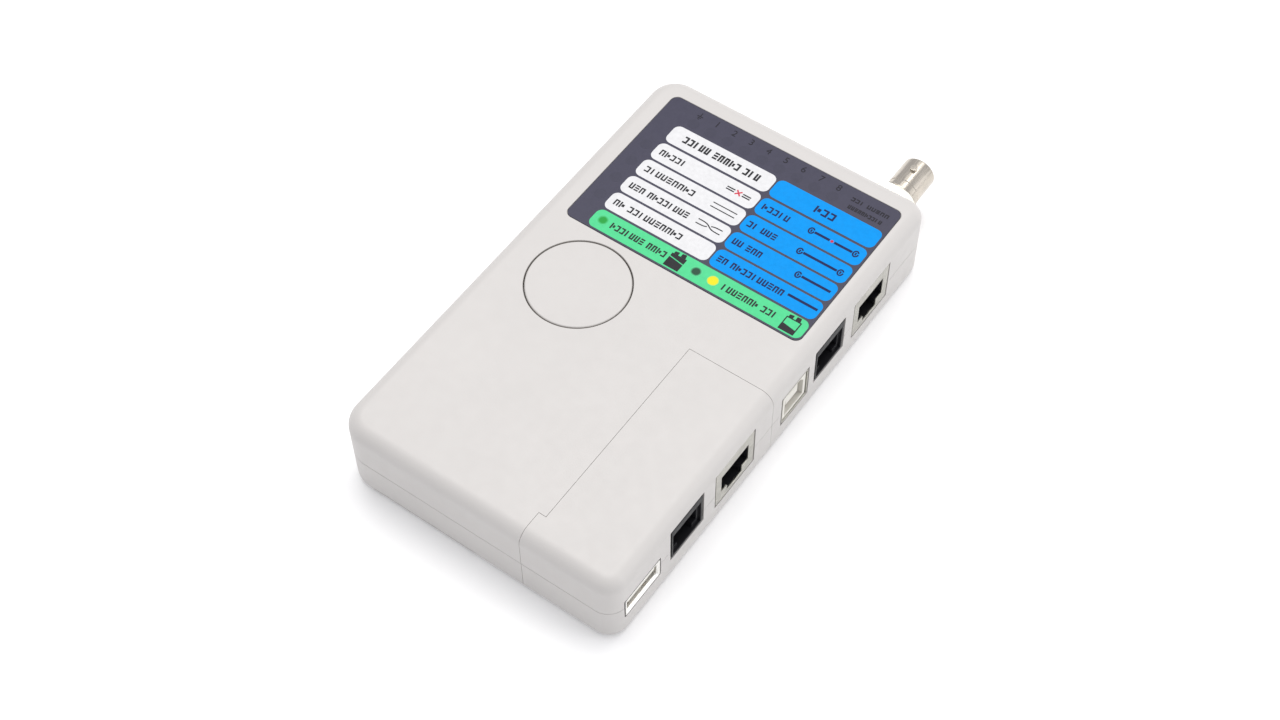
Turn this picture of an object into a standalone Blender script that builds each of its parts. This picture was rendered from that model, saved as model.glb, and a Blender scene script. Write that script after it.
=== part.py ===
"""Handheld network cable tester with a slide-off remote unit.

Frame: origin at the centre of the case's underside, +Z up out of the face with
the label, +Y towards the end with the coaxial jack, +X towards the side with
the sockets. All driving dimensions below are in millimetres.
"""
import math

import bmesh
import bpy
from mathutils import Matrix, Vector

MM = 0.001

# Case outline
CASE_X = 85.0
CASE_Y = 144.0
CASE_Z = 25.0
HALF_X = CASE_X / 2
HALF_Y = CASE_Y / 2
LEFT_RADIUS = 8.0
RIGHT_RADIUS = 5.5
TOP_FILLET = 4.0
BOTTOM_FILLET = 2.5
WALL = 2.0
FLOOR = 2.2
SPLIT_Z = 12.0
SPLIT_GAP = 0.3
CORNER_STEPS = 6
FILLET_STEPS = 4
REST_GAP = 0.2

# Remote unit: the corner block that slides off along -Y
SEAM_X = 16.95
SEAM_Y = -3.6
FOOT_X = 14.8
FOOT_Y = -63.8
SEAM_GAP = 0.3
RAIL_WALL = 4.1
RAIL_NECK_X = 16.1
RAIL_HEAD_X = 15.15
RAIL_NECK_Z = (6.0, 8.0)
RAIL_HEAD_Z = (5.0, 9.0)
RAIL_Y = (-61.5, -8.0)
RAIL_PLAY = 0.25
RAIL_END_GAP = 0.5
RAIL_ROOT_X = 17.95
BEYOND = 5.0

# Label in the top face
LABEL_X = (-35.4, 38.4)
LABEL_Y = (13.6, 65.3)
LABEL_RADIUS = 2.2
LABEL_RECESS = 0.45
LABEL_FILM = 0.25
LABEL_PLAY = 0.15

# Indicator lamps, 3 mm each
LAMP_RADIUS = 1.45
LAMP_HOLE_RADIUS = 1.75
LAMP_TOP_Z = 24.5
LAMP_COLLAR_RADIUS = 1.9
LAMP_COLLAR_HEIGHT = 1.0
LAMP_STEPS = 12
LAMP_DOME_STEPS = 3
PIN_LAMP_Y = 59.3
PIN_LAMP_FIRST_X = -25.15
PIN_LAMP_PITCH = 5.6
PIN_LAMP_NAMES = ("ground", "1", "2", "3", "4", "5", "6", "7", "8")
STATUS_LAMP_X = -31.5
STATUS_LAMP_TOP_Y = 45.9
STATUS_LAMP_PITCH = 7.08
STATUS_LAMP_NAMES = ("short", "connected", "crossed", "open")
BATTERY_LAMP_Y = 17.65
BATTERY_LAMPS = (("battery_good", -25.5), ("battery_mid", 4.35), ("battery_low", 9.6))

# Test button
BUTTON_X = -18.3
BUTTON_Y = -3.1
BUTTON_RADIUS = 14.0
BUTTON_HOLE_RADIUS = 14.35
BUTTON_FLANGE_RADIUS = 15.4
BUTTON_SKIRT_RADIUS = 12.4
BUTTON_POST_RADIUS = 2.0
BUTTON_RIM = 0.4
BUTTON_FLANGE_Z = (21.4, 22.7)
BUTTON_INSIDE_Z = 23.4
BUTTON_STEPS = 40
SWITCH_HALF_WIDTH = 6.0
SWITCH_HEIGHT = 2.4
SWITCH_HOLE_RADIUS = 2.8
SWITCH_HOLE_FLOOR = 0.8
PLUNGER_RADIUS = 2.5
PLUNGER_RISE = (1.8, 3.2)

# Circuit boards
BOARD_THICKNESS = 1.6
MAIN_BOARD_Z = 4.6
MAIN_BOARD_TOP = MAIN_BOARD_Z + BOARD_THICKNESS
MAIN_BOARD_X = (-38.5, 40.0)
BOARD_Y = (-0.9, 61.5)
DISPLAY_BOARD_Z = 17.0
DISPLAY_BOARD_TOP = DISPLAY_BOARD_Z + BOARD_THICKNESS
DISPLAY_BOARD_X = (-35.0, 22.2)
DISPLAY_FOOT = (10.8, -10.5)
REMOTE_BOARD_X = (26.6, 40.0)
REMOTE_BOARD_Y = (-68.0, -7.0)
HEADER_X = (-20.0, 0.4)
HEADER_Y = (20.0, 22.5)
CHIP_X = (-18.4, -5.6)
CHIP_Y = (33.0, 40.5)
CHIP_RADIUS = 0.6
CHIP_HEIGHT = 2.3
UPPER_POSTS = ((-32.5, 55.0), (20.2, 50.0), (20.2, 2.0), (-33.0, 19.0))
UPPER_POST_RADIUS = 1.6
LOWER_POSTS = ((-34.0, 50.0), (-34.0, 2.0), (16.0, 50.0), (16.0, 4.0))
LOWER_POST_RADIUS = 2.0

# Sockets along the right side
SOCKET_FACE_X = 42.2
RJ45_MAIN_Y = 43.6
RJ11_MAIN_Y = 23.4
USB_B_Y = 7.1
RJ45_REMOTE_Y = -20.3
RJ11_REMOTE_Y = -41.25
USB_A_Y = -59.95
RJ45_HALF_WIDTH = 8.4
RJ45_Z = (6.6, 20.2)
RJ45_DEPTH = 16.0
RJ11_HALF_WIDTH = 6.6
RJ11_Z = (8.2, 20.1)
RJ11_DEPTH = 14.0
USB_B_HALF_WIDTH = 6.0
USB_B_Z = (6.9, 17.9)
USB_B_DEPTH = 16.0
USB_A_HALF_WIDTH = 7.1
USB_A_Z = (7.75, 14.65)
USB_A_DEPTH = 10.6
CUTOUT_PLAY = 0.35
METAL = 0.4
PLUG_TOP_Z = 16.8
RJ45_WAY_DEPTH = 13.0
RJ11_WAY_DEPTH = 12.0
RJ11_HEEL_X = -3.0
RJ11_LEAD_IN_HALF = 5.9
RJ11_LEAD_IN_Z = (8.9, 17.5)
RJ11_LEAD_IN_DEPTH = 0.8
CONTACT_PITCH = 1.02
CONTACT_HALF_WIDTH = 0.25
CONTACT_LENGTH = 9.4
CONTACT_THICKNESS = 0.3
CARRIER_LENGTH = 1.2
CARRIER_MARGIN = 0.2
CONTACT_ROOT = (-1.7, 17.25)
CONTACT_SLOPE = -12.0
CONTACT_SLOT_X = (-5.9, -1.3)
CONTACT_SLOT_HEIGHT = 1.2
USB_B_WAY_HALF = 4.25
USB_B_WAY_CHAMFER = 1.6
USB_B_WAY_HALF_HEIGHT = 3.9
USB_B_WAY_DEPTH = 9.5
USB_B_BLOCK_HALF = (2.8, 1.6)
USB_B_BLOCK_X = -1.0
USB_A_TUBE_HALF = 6.6
USB_A_TUBE_HALF_HEIGHT = 2.9
USB_A_TONGUE_HALF = (6.2, 5.6)
USB_A_TONGUE_RISE = (0.3, 2.1)
USB_A_TONGUE_TIP_X = -0.9
USB_A_TONGUE_BACK_X = -13.6

# Coaxial jack on the far end
BNC_X = 29.8
BNC_Z = 12.6
BNC_TIP_Y = 90.0
BNC_NECK_Y = 78.0
BNC_BARREL_RADIUS = 4.8
BNC_BORE_RADIUS = 4.05
BNC_NECK_RADIUS = 6.3
BNC_HOLE_RADIUS = 6.6
BNC_NUT_FLATS = 14.6
BNC_NUT_HEIGHT = 3.0
BNC_WASHER_RADIUS = 8.2
BNC_WASHER_HEIGHT = 0.8
BNC_BLOCK_HALF = 7.0
BNC_BLOCK_Y = (56.0, 68.6)
BNC_LUG_RADIUS = 1.0
BNC_LUG_REACH = 5.6
BNC_LUG_FROM_TIP = 4.2
BNC_INSULATOR_RADII = (0.95, 2.3, 3.7)
BNC_INSULATOR_FLANGE = 1.6
BNC_INSULATOR_FROM_TIP = 3.0
BNC_CONTACT_RADIUS = 0.65
BNC_CONTACT_FROM_TIP = 2.4
BNC_STEPS = 24

# Battery and its door
BATTERY_X = (-29.9, -3.4)
BATTERY_Y = (-68.3, -21.9)
BATTERY_Z = (2.6, 20.1)
BATTERY_RADIUS = 2.0
TERMINAL_OFFSET = 6.35
TERMINAL_HEIGHT = 2.4
TERMINAL_RADII = (2.9, 4.0)
SNAP_HALF = (12.0, 6.5)
SNAP_RADIUS = 3.0
SNAP_Y = (0.4, 6.2)
LEAD_RADIUS = 0.65
LEAD_LEAVES = 6.5
LEADS = (("battery_lead_red", -20.0, "wire_red"), ("battery_lead_black", -14.0, "wire_black"))
LEAD_ROUTE = ((0.0, 10.5), (2.0, 10.4), (5.0, 9.6), (9.0, 8.2), (13.0, 7.4), (18.0, 7.2))
DOOR_X = (-31.2, -2.1)
DOOR_END_Y = -16.0
DOOR_Z = 1.9
DOOR_TONGUE = 1.2
DOOR_TONGUE_Z = 1.1
DOOR_PLAY = 0.3
DOOR_LEDGE = 1.0
DOOR_FRAME_MARGIN = 2.0
DOOR_FRAME_RISE = 1.3
GRIP_X = (-23.0, -15.0)
GRIP_Y = -60.0
GRIP_PITCH = 2.4
GRIP_DEPTH = 0.6
GRIP_COUNT = 4

# Screws
CASE_SCREWS = ((-36.2, 65.7), (12.0, 66.0), (-36.4, -66.0), (3.5, -66.0))
REMOTE_SCREWS = ((22.7, -9.4), (22.7, -65.4))
BOSS_RADIUS = 3.4
SCREW_HOLE_RADIUS = 1.7
SCREW_SHANK_RADIUS = 1.35
SCREW_HEAD_RADIUS = 2.55
COUNTERBORE_RADIUS = 2.85
COUNTERBORE_Z = 4.0
SCREW_TIP_Z = 20.0
SCREW_TIP_TAPER = 1.5
SCREW_HEAD_LOW_Z = 1.5
SCREW_HEAD_GAP = 0.3
SCREW_HEAD_CHAMFER = (0.6, 0.8)
RECESS_HALF = (1.5, 0.35)
RECESS_DEPTH = 1.0

FINISHES = {
    "abs_light": ((0.79, 0.77, 0.74), 0.42, 0.0),
    "label_film": ((0.09, 0.085, 0.13), 0.25, 0.0),
    "board": ((0.02, 0.16, 0.06), 0.45, 0.0),
    "black_plastic": ((0.02, 0.02, 0.022), 0.4, 0.0),
    "white_plastic": ((0.82, 0.80, 0.74), 0.45, 0.0),
    "nickel": ((0.66, 0.62, 0.54), 0.25, 1.0),
    "tin_plate": ((0.62, 0.61, 0.58), 0.32, 1.0),
    "gold_plate": ((0.83, 0.60, 0.22), 0.28, 1.0),
    "screw_steel": ((0.45, 0.45, 0.46), 0.35, 1.0),
    "battery_case": ((0.10, 0.10, 0.11), 0.35, 0.2),
    "lamp_red": ((0.45, 0.03, 0.03), 0.2, 0.0),
    "lamp_green": ((0.03, 0.35, 0.10), 0.2, 0.0),
    "lamp_smoke": ((0.10, 0.11, 0.11), 0.2, 0.0),
    "lamp_yellow": ((0.95, 0.80, 0.03), 0.2, 0.0),
    "wire_red": ((0.55, 0.03, 0.03), 0.5, 0.0),
    "wire_black": ((0.02, 0.02, 0.02), 0.5, 0.0),
}


# ---------------------------------------------------------------- mesh helpers

def mesh_object(name, vertices, faces):
    """Closed mesh object from millimetre points, with its faces turned outwards."""
    mesh = bpy.data.meshes.new(name)
    mesh.from_pydata([Vector(vertex) * MM for vertex in vertices], [], faces)
    shape = bmesh.new()
    shape.from_mesh(mesh)
    bmesh.ops.recalc_face_normals(shape, faces=shape.faces)
    shape.to_mesh(mesh)
    shape.free()
    item = bpy.data.objects.new(name, mesh)
    bpy.context.scene.collection.objects.link(item)
    return item


def loft(name, rings):
    """Solid through rings of equal point count, with flat caps."""
    count = len(rings[0])
    vertices = [point for ring in rings for point in ring]
    faces = [tuple(range(count)), tuple((len(rings) - 1) * count + i for i in range(count))]
    for level in range(len(rings) - 1):
        base = level * count
        for i in range(count):
            j = (i + 1) % count
            faces.append((base + i, base + j, base + count + j, base + count + i))
    return mesh_object(name, vertices, faces)


def prism(name, outline, low, high, axis="Z"):
    """Outline extruded along an axis: (x, y) for Z, (y, z) for X and (x, z) for Y."""
    place = {
        "X": lambda u, v, w: (w, u, v),
        "Y": lambda u, v, w: (u, w, v),
        "Z": lambda u, v, w: (u, v, w),
    }[axis]
    return loft(name, [[place(u, v, w) for u, v in outline] for w in (low, high)])


def box(name, low, high):
    """Box between two corners."""
    outline = ((low[0], low[1]), (high[0], low[1]), (high[0], high[1]), (low[0], high[1]))
    return prism(name, outline, low[2], high[2])


def circle(x, y, radius, steps, turn=0.0):
    """Points of a circle, starting at an angle."""
    angles = [turn + 2 * math.pi * i / steps for i in range(steps)]
    return [(x + radius * math.cos(angle), y + radius * math.sin(angle)) for angle in angles]


def rounded_rectangle(x_range, y_range, radius, steps=CORNER_STEPS, right=None):
    """Rectangle outline with quarter-circle corners; the right-hand pair may differ."""
    right = radius if right is None else right
    points = []
    centres = (
        (x_range[1] - right, y_range[1] - right, right, 0.0),
        (x_range[0] + radius, y_range[1] - radius, radius, 0.5),
        (x_range[0] + radius, y_range[0] + radius, radius, 1.0),
        (x_range[1] - right, y_range[0] + right, right, 1.5),
    )
    for x, y, corner, start in centres:
        for i in range(steps + 1):
            angle = math.pi * (start + 0.5 * i / steps)
            points.append((x + corner * math.cos(angle), y + corner * math.sin(angle)))
    return points


def turned(name, profile, steps, axis="Z", closed=False):
    """Profile of (radius, height) turned about an axis through the origin.

    An open profile starts and ends on the axis. A closed one is a ring's section.
    """
    place = {
        "Y": lambda u, v, w: (u, w, v),
        "Z": lambda u, v, w: (u, v, w),
    }[axis]
    vertices = []
    rows = []
    for radius, height in profile:
        if radius == 0.0:
            rows.append([len(vertices)] * steps)
            vertices.append(place(0.0, 0.0, height))
        else:
            rows.append([len(vertices) + i for i in range(steps)])
            vertices += [place(x, y, height) for x, y in circle(0.0, 0.0, radius, steps)]
    faces = []
    pairs = list(zip(rows, rows[1:]))
    if closed:
        pairs.append((rows[-1], rows[0]))
    for lower, upper in pairs:
        for i in range(steps):
            j = (i + 1) % steps
            corners = (lower[i], lower[j], upper[j], upper[i])
            faces.append(tuple(dict.fromkeys(corners)))
    return mesh_object(name, vertices, faces)


def cylinder(name, centre, radius, low, high, axis="Z", steps=16):
    """Cylinder along an axis; centre is the other two coordinates."""
    return prism(name, circle(centre[0], centre[1], radius, steps), low, high, axis)


def combine(target, tool, operation):
    """Apply one Boolean and remove the tool."""
    modifier = target.modifiers.new("shape", "BOOLEAN")
    modifier.operation = operation
    modifier.solver = "EXACT"
    modifier.object = tool
    bpy.context.view_layer.update()
    graph = bpy.context.evaluated_depsgraph_get()
    result = bpy.data.meshes.new_from_object(target.evaluated_get(graph))
    target.modifiers.clear()
    target.data = result
    result.name = target.name
    bpy.data.objects.remove(tool)
    return target


def cut(target, *tools):
    """Subtract each tool."""
    for tool in tools:
        combine(target, tool, "DIFFERENCE")
    return target


def join(target, *tools):
    """Unite each tool with the target."""
    for tool in tools:
        combine(target, tool, "UNION")
    return target


def finish(item, finish_name, location=None, parent=None, smooth_angle=35.0):
    """Give an object its material, its place in millimetres and its parent."""
    item.data.materials.clear()
    item.data.materials.append(material(finish_name))
    item.data.shade_smooth()
    item.data.set_sharp_from_angle(angle=math.radians(smooth_angle))
    if location is not None:
        item.location = Vector(location) * MM
    if parent is not None:
        item.parent = parent
        item.matrix_parent_inverse = parent.matrix_world.inverted()
    return item


def copy_of(source, name):
    """Second object that shares a mesh."""
    item = bpy.data.objects.new(name, source.data)
    bpy.context.scene.collection.objects.link(item)
    return item


def material(finish_name):
    """Principled material for a finish, made once."""
    if finish_name in bpy.data.materials:
        return bpy.data.materials[finish_name]
    colour, roughness, metallic = FINISHES[finish_name]
    made = bpy.data.materials.new(finish_name)
    made.use_nodes = True
    shader = made.node_tree.nodes["Principled BSDF"]
    shader.inputs["Base Color"].default_value = (*colour, 1.0)
    shader.inputs["Roughness"].default_value = roughness
    shader.inputs["Metallic"].default_value = metallic
    return made


def body_empty(name, location):
    """Empty at a body's joint reference point."""
    item = bpy.data.objects.new(name, None)
    item.location = Vector(location) * MM
    bpy.context.scene.collection.objects.link(item)
    bpy.context.view_layer.update()
    return item


# ---------------------------------------------------------------- case covers

def case_form():
    """Outer form of the whole case, both units together."""
    eases = [math.pi / 2 * i / FILLET_STEPS for i in range(FILLET_STEPS + 1)]
    levels = [(BOTTOM_FILLET * (1 - math.sin(ease)), BOTTOM_FILLET * (1 - math.cos(ease)))
              for ease in eases]
    levels += [(TOP_FILLET * (1 - math.cos(ease)), CASE_Z - TOP_FILLET * (1 - math.sin(ease)))
               for ease in eases]
    rings = []
    for inset, z in levels:
        outline = rounded_rectangle((inset - HALF_X, HALF_X - inset), (inset - HALF_Y, HALF_Y - inset),
                                    LEFT_RADIUS - inset, right=RIGHT_RADIUS - inset)
        rings.append([(x, y, z) for x, y in outline])
    return loft("case_form", rings)


def remote_plan(grow, grow_top=None):
    """Plan of the remote unit's space, grown into the main unit."""
    top = SEAM_Y + (grow if grow_top is None else grow_top)
    step = FOOT_Y + min(grow, SEAM_GAP)
    return (
        (SEAM_X - grow, top),
        (SEAM_X - grow, step),
        (FOOT_X - grow, step),
        (FOOT_X - grow, -HALF_Y - BEYOND),
        (HALF_X + BEYOND, -HALF_Y - BEYOND),
        (HALF_X + BEYOND, top),
    )


def remote_space(grow, grow_top=None):
    """Prism of the remote unit's space through the case's height."""
    return prism("remote_space", remote_plan(grow, grow_top), -BEYOND, CASE_Z + BEYOND)


def cavity_form(name, x_range, y_range, radius):
    """Inside of a cover pair, with its upper edge eased under the outer fillet."""
    ease = TOP_FILLET - WALL
    roof = CASE_Z - WALL
    rings = []
    for inset, z in ((0.0, FLOOR), (0.0, roof - ease), (0.3 * ease, roof - 0.3 * ease), (ease, roof)):
        outline = rounded_rectangle((x_range[0] + inset, x_range[1] - inset),
                                    (y_range[0] + inset, y_range[1] - inset), radius - inset)
        rings.append([(x, y, z) for x, y in outline])
    return loft(name, rings)


def half_space(upper):
    """Everything on the far side of the parting plane from one cover."""
    low = -BEYOND if upper else SPLIT_Z - SPLIT_GAP / 2
    high = SPLIT_Z + SPLIT_GAP / 2 if upper else CASE_Z + BEYOND
    return box("half_space", (-HALF_X - BEYOND, -HALF_Y - BEYOND, low),
               (HALF_X + BEYOND, HALF_Y + BEYOND, high))


def socket_cutout(y, half_width, z_range):
    """Rectangular way through the right-hand wall, with play around a socket."""
    return box("cutout", (HALF_X - 2 * WALL, y - half_width - CUTOUT_PLAY, z_range[0] - CUTOUT_PLAY),
               (HALF_X + BEYOND, y + half_width + CUTOUT_PLAY, z_range[1] + CUTOUT_PLAY))


def boss(x, y, upper):
    """Screw boss of one cover."""
    if upper:
        return cylinder("boss", (x, y), BOSS_RADIUS, SPLIT_Z + SPLIT_GAP / 2, CASE_Z - WALL / 2)
    return cylinder("boss", (x, y), BOSS_RADIUS, FLOOR / 2, SPLIT_Z - SPLIT_GAP / 2)


def screw_way(x, y, upper):
    """Hole for a screw, with its counterbore in the lower cover."""
    if upper:
        return cylinder("way", (x, y), SCREW_HOLE_RADIUS, SPLIT_Z - 1, SCREW_TIP_Z + 0.5)
    profile = (
        (0.0, -1.0),
        (COUNTERBORE_RADIUS, -1.0),
        (COUNTERBORE_RADIUS, COUNTERBORE_Z),
        (SCREW_HOLE_RADIUS, COUNTERBORE_Z),
        (SCREW_HOLE_RADIUS, SPLIT_Z + 1),
        (0.0, SPLIT_Z + 1),
    )
    way = turned("way", profile, 16)
    way.location = Vector((x, y, 0)) * MM
    return way


def shell(name, cavity, space_tool, keep_space, upper):
    """One cover: a slice of the case form around a cavity."""
    cover = case_form()
    cover.name = name
    cut(cover, half_space(upper))
    combine(cover, space_tool, "INTERSECT" if keep_space else "DIFFERENCE")
    return cut(cover, cavity)


def add_bosses(cover, screws, upper):
    """Screw bosses of one cover, then their holes."""
    join(cover, *[boss(x, y, upper) for x, y in screws])
    cut(cover, *[screw_way(x, y, upper) for x, y in screws])


def main_cavity():
    """Inside of the main unit, leaving a thick wall for the rail."""
    cavity = cavity_form("cavity", (WALL - HALF_X, HALF_X - WALL), (WALL - HALF_Y, HALF_Y - WALL),
                         LEFT_RADIUS - WALL)
    return cut(cavity, remote_space(RAIL_WALL, WALL + SEAM_GAP))


def remote_cavity():
    """Inside of the remote unit."""
    return cavity_form("cavity", (SEAM_X + WALL, HALF_X - WALL), (WALL - HALF_Y, SEAM_Y - WALL), 3.0)


def lamp_places():
    """Name, x and y of every indicator lamp."""
    places = []
    for i, label in enumerate(PIN_LAMP_NAMES):
        places.append(("lamp_pin_" + label, PIN_LAMP_FIRST_X + i * PIN_LAMP_PITCH, PIN_LAMP_Y))
    for i, label in enumerate(STATUS_LAMP_NAMES):
        places.append(("lamp_" + label, STATUS_LAMP_X, STATUS_LAMP_TOP_Y - i * STATUS_LAMP_PITCH))
    for label, x in BATTERY_LAMPS:
        places.append(("lamp_" + label, x, BATTERY_LAMP_Y))
    return places


def bnc_way():
    """Round way through the far end wall for the coaxial jack's neck."""
    return cylinder("bnc_way", (BNC_X, BNC_Z), BNC_HOLE_RADIUS, HALF_Y - 2 * WALL, HALF_Y + BEYOND,
                    "Y", 24)


def main_socket_cutouts():
    """Ways through the right-hand wall of the main unit."""
    return (
        socket_cutout(RJ45_MAIN_Y, RJ45_HALF_WIDTH, RJ45_Z),
        socket_cutout(RJ11_MAIN_Y, RJ11_HALF_WIDTH, RJ11_Z),
        socket_cutout(USB_B_Y, USB_B_HALF_WIDTH, USB_B_Z),
    )


def remote_socket_cutouts():
    """Ways through the right-hand wall of the remote unit."""
    return (
        socket_cutout(RJ45_REMOTE_Y, RJ45_HALF_WIDTH, RJ45_Z),
        socket_cutout(RJ11_REMOTE_Y, RJ11_HALF_WIDTH, RJ11_Z),
        socket_cutout(USB_A_Y, USB_A_HALF_WIDTH, USB_A_Z),
    )


def make_top_cover(parent):
    """Main unit's upper cover: label recess, lamp holes, button hole and board posts."""
    cover = shell("top_cover", main_cavity(), remote_space(SEAM_GAP / 2), False, True)
    add_bosses(cover, CASE_SCREWS, True)
    for place in UPPER_POSTS:
        join(cover, cylinder("post", place, UPPER_POST_RADIUS, DISPLAY_BOARD_TOP + REST_GAP,
                             CASE_Z - WALL / 2, steps=12))
    recess = rounded_rectangle(LABEL_X, LABEL_Y, LABEL_RADIUS, 4)
    cut(cover, prism("recess", recess, CASE_Z - LABEL_RECESS, CASE_Z + 1))
    cut(cover, cylinder("hole", (BUTTON_X, BUTTON_Y), BUTTON_HOLE_RADIUS, CASE_Z - 2 * WALL, CASE_Z + 1,
                        steps=BUTTON_STEPS))
    for _, x, y in lamp_places():
        cut(cover, cylinder("hole", (x, y), LAMP_HOLE_RADIUS, CASE_Z - 2 * WALL, CASE_Z + 1, steps=12))
    cut(cover, bnc_way(), *main_socket_cutouts())
    finish(cover, "abs_light", parent=parent)


def door_plan(grow):
    """Plan of the battery door, open towards the near end."""
    return (DOOR_X[0] - grow, DOOR_X[1] + grow, -HALF_Y - BEYOND, DOOR_END_Y + grow)


def door_slab(name, grow, z_range):
    """Slab over the door's plan."""
    x0, x1, y0, y1 = door_plan(grow)
    return box(name, (x0, y0, z_range[0]), (x1, y1, z_range[1]))


def make_bottom_cover(parent):
    """Main unit's lower cover: battery door opening, rail slot and board posts."""
    cover = shell("bottom_cover", main_cavity(), remote_space(SEAM_GAP / 2), False, False)
    for place in LOWER_POSTS:
        join(cover, cylinder("post", place, LOWER_POST_RADIUS, FLOOR / 2, MAIN_BOARD_Z - REST_GAP, steps=12))
    x0, x1, _, y1 = door_plan(DOOR_TONGUE + DOOR_FRAME_MARGIN)
    join(cover, box("frame", (x0, -HALF_Y + WALL / 2, FLOOR / 2), (x1, y1, FLOOR + DOOR_FRAME_RISE)))
    x0, x1, _, y1 = door_plan(-DOOR_LEDGE)
    cut(cover, box("opening", (x0, WALL - HALF_Y, FLOOR / 2), (x1, y1, FLOOR + BEYOND)))
    cut(cover, door_slab("groove", DOOR_TONGUE + DOOR_PLAY, (DOOR_TONGUE_Z - DOOR_PLAY, DOOR_Z + DOOR_PLAY)))
    cut(cover, door_slab("mouth", DOOR_PLAY, (-1.0, DOOR_Z)))
    add_bosses(cover, CASE_SCREWS, False)
    slot_y = (-HALF_Y - BEYOND, RAIL_Y[1] + RAIL_END_GAP)
    cut(cover, box("neck_slot", (RAIL_NECK_X - RAIL_PLAY, slot_y[0], RAIL_NECK_Z[0] - RAIL_PLAY),
                   (RAIL_ROOT_X, slot_y[1], RAIL_NECK_Z[1] + RAIL_PLAY)))
    cut(cover, box("head_slot", (RAIL_HEAD_X - RAIL_PLAY, slot_y[0], RAIL_HEAD_Z[0] - RAIL_PLAY),
                   (RAIL_NECK_X + RAIL_PLAY, slot_y[1], RAIL_HEAD_Z[1] + RAIL_PLAY)))
    cut(cover, bnc_way(), *main_socket_cutouts())
    finish(cover, "abs_light", parent=parent)


def make_remote_covers(parent):
    """Remote unit's two covers, the lower one with the T-shaped rail."""
    top = shell("remote_top_cover", remote_cavity(), remote_space(-SEAM_GAP / 2), True, True)
    add_bosses(top, REMOTE_SCREWS, True)
    cut(top, *remote_socket_cutouts())
    finish(top, "abs_light", parent=parent)
    bottom = shell("remote_bottom_cover", remote_cavity(), remote_space(-SEAM_GAP / 2), True, False)
    add_bosses(bottom, REMOTE_SCREWS, False)
    rail = (
        (RAIL_HEAD_X, RAIL_HEAD_Z[0]),
        (RAIL_NECK_X, RAIL_HEAD_Z[0]),
        (RAIL_NECK_X, RAIL_NECK_Z[0]),
        (RAIL_ROOT_X, RAIL_NECK_Z[0]),
        (RAIL_ROOT_X, RAIL_NECK_Z[1]),
        (RAIL_NECK_X, RAIL_NECK_Z[1]),
        (RAIL_NECK_X, RAIL_HEAD_Z[1]),
        (RAIL_HEAD_X, RAIL_HEAD_Z[1]),
    )
    join(bottom, prism("rail", rail, RAIL_Y[0], RAIL_Y[1], "Y"))
    cut(bottom, *remote_socket_cutouts())
    finish(bottom, "abs_light", parent=parent)


def make_battery_door(parent):
    """Sliding battery door: a plate with side tongues, rounded with the case's edge."""
    x0, x1, _, y1 = door_plan(0.0)
    door = box("battery_door", (x0, -HALF_Y - 1, 0.0), (x1, y1, DOOR_Z))
    join(door, box("tongues", (x0 - DOOR_TONGUE, -HALF_Y - 1, DOOR_TONGUE_Z),
                   (x1 + DOOR_TONGUE, y1 - DOOR_LEDGE, DOOR_Z)))
    combine(door, case_form(), "INTERSECT")
    for i in range(GRIP_COUNT):
        y = GRIP_Y + GRIP_PITCH * i
        cut(door, box("grip", (GRIP_X[0], y, -1.0), (GRIP_X[1], y + GRIP_PITCH / 2, GRIP_DEPTH)))
    finish(door, "abs_light", parent=parent)


def make_label(parent):
    """Printed film in the top cover's recess; it is clear over the lamps."""
    outline = rounded_rectangle((LABEL_X[0] + LABEL_PLAY, LABEL_X[1] - LABEL_PLAY),
                                (LABEL_Y[0] + LABEL_PLAY, LABEL_Y[1] - LABEL_PLAY),
                                LABEL_RADIUS - LABEL_PLAY, 4)
    low = CASE_Z - LABEL_RECESS + LABEL_PLAY
    film = prism("face_label", outline, low, low + LABEL_FILM)
    finish(film, "label_film", parent=parent)


# ---------------------------------------------------------------- electronics

def make_boards(main_parent, remote_parent):
    """Circuit boards, the pin header between two of them, and the controller."""
    main = box("main_circuit_board", (MAIN_BOARD_X[0], BOARD_Y[0], MAIN_BOARD_Z),
               (MAIN_BOARD_X[1], BOARD_Y[1], MAIN_BOARD_TOP))
    finish(main, "board", parent=main_parent)
    left, right = DISPLAY_BOARD_X
    display_plan = (
        (left, DISPLAY_FOOT[1]),
        (DISPLAY_FOOT[0], DISPLAY_FOOT[1]),
        (DISPLAY_FOOT[0], BOARD_Y[0]),
        (right, BOARD_Y[0]),
        (right, BOARD_Y[1]),
        (left, BOARD_Y[1]),
    )
    finish(prism("display_board", display_plan, DISPLAY_BOARD_Z, DISPLAY_BOARD_TOP),
           "board", parent=main_parent)
    remote = box("remote_circuit_board", (REMOTE_BOARD_X[0], REMOTE_BOARD_Y[0], MAIN_BOARD_Z),
                 (REMOTE_BOARD_X[1], REMOTE_BOARD_Y[1], MAIN_BOARD_TOP))
    finish(remote, "board", parent=remote_parent)
    seat = MAIN_BOARD_TOP + REST_GAP
    header = box("board_link_header", (HEADER_X[0], HEADER_Y[0], seat),
                 (HEADER_X[1], HEADER_Y[1], DISPLAY_BOARD_Z - REST_GAP))
    finish(header, "black_plastic", parent=main_parent)
    chip_plan = rounded_rectangle(CHIP_X, CHIP_Y, CHIP_RADIUS, 2)
    chip = prism("controller_chip", chip_plan, seat, seat + CHIP_HEIGHT)
    finish(chip, "black_plastic", parent=main_parent)


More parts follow.
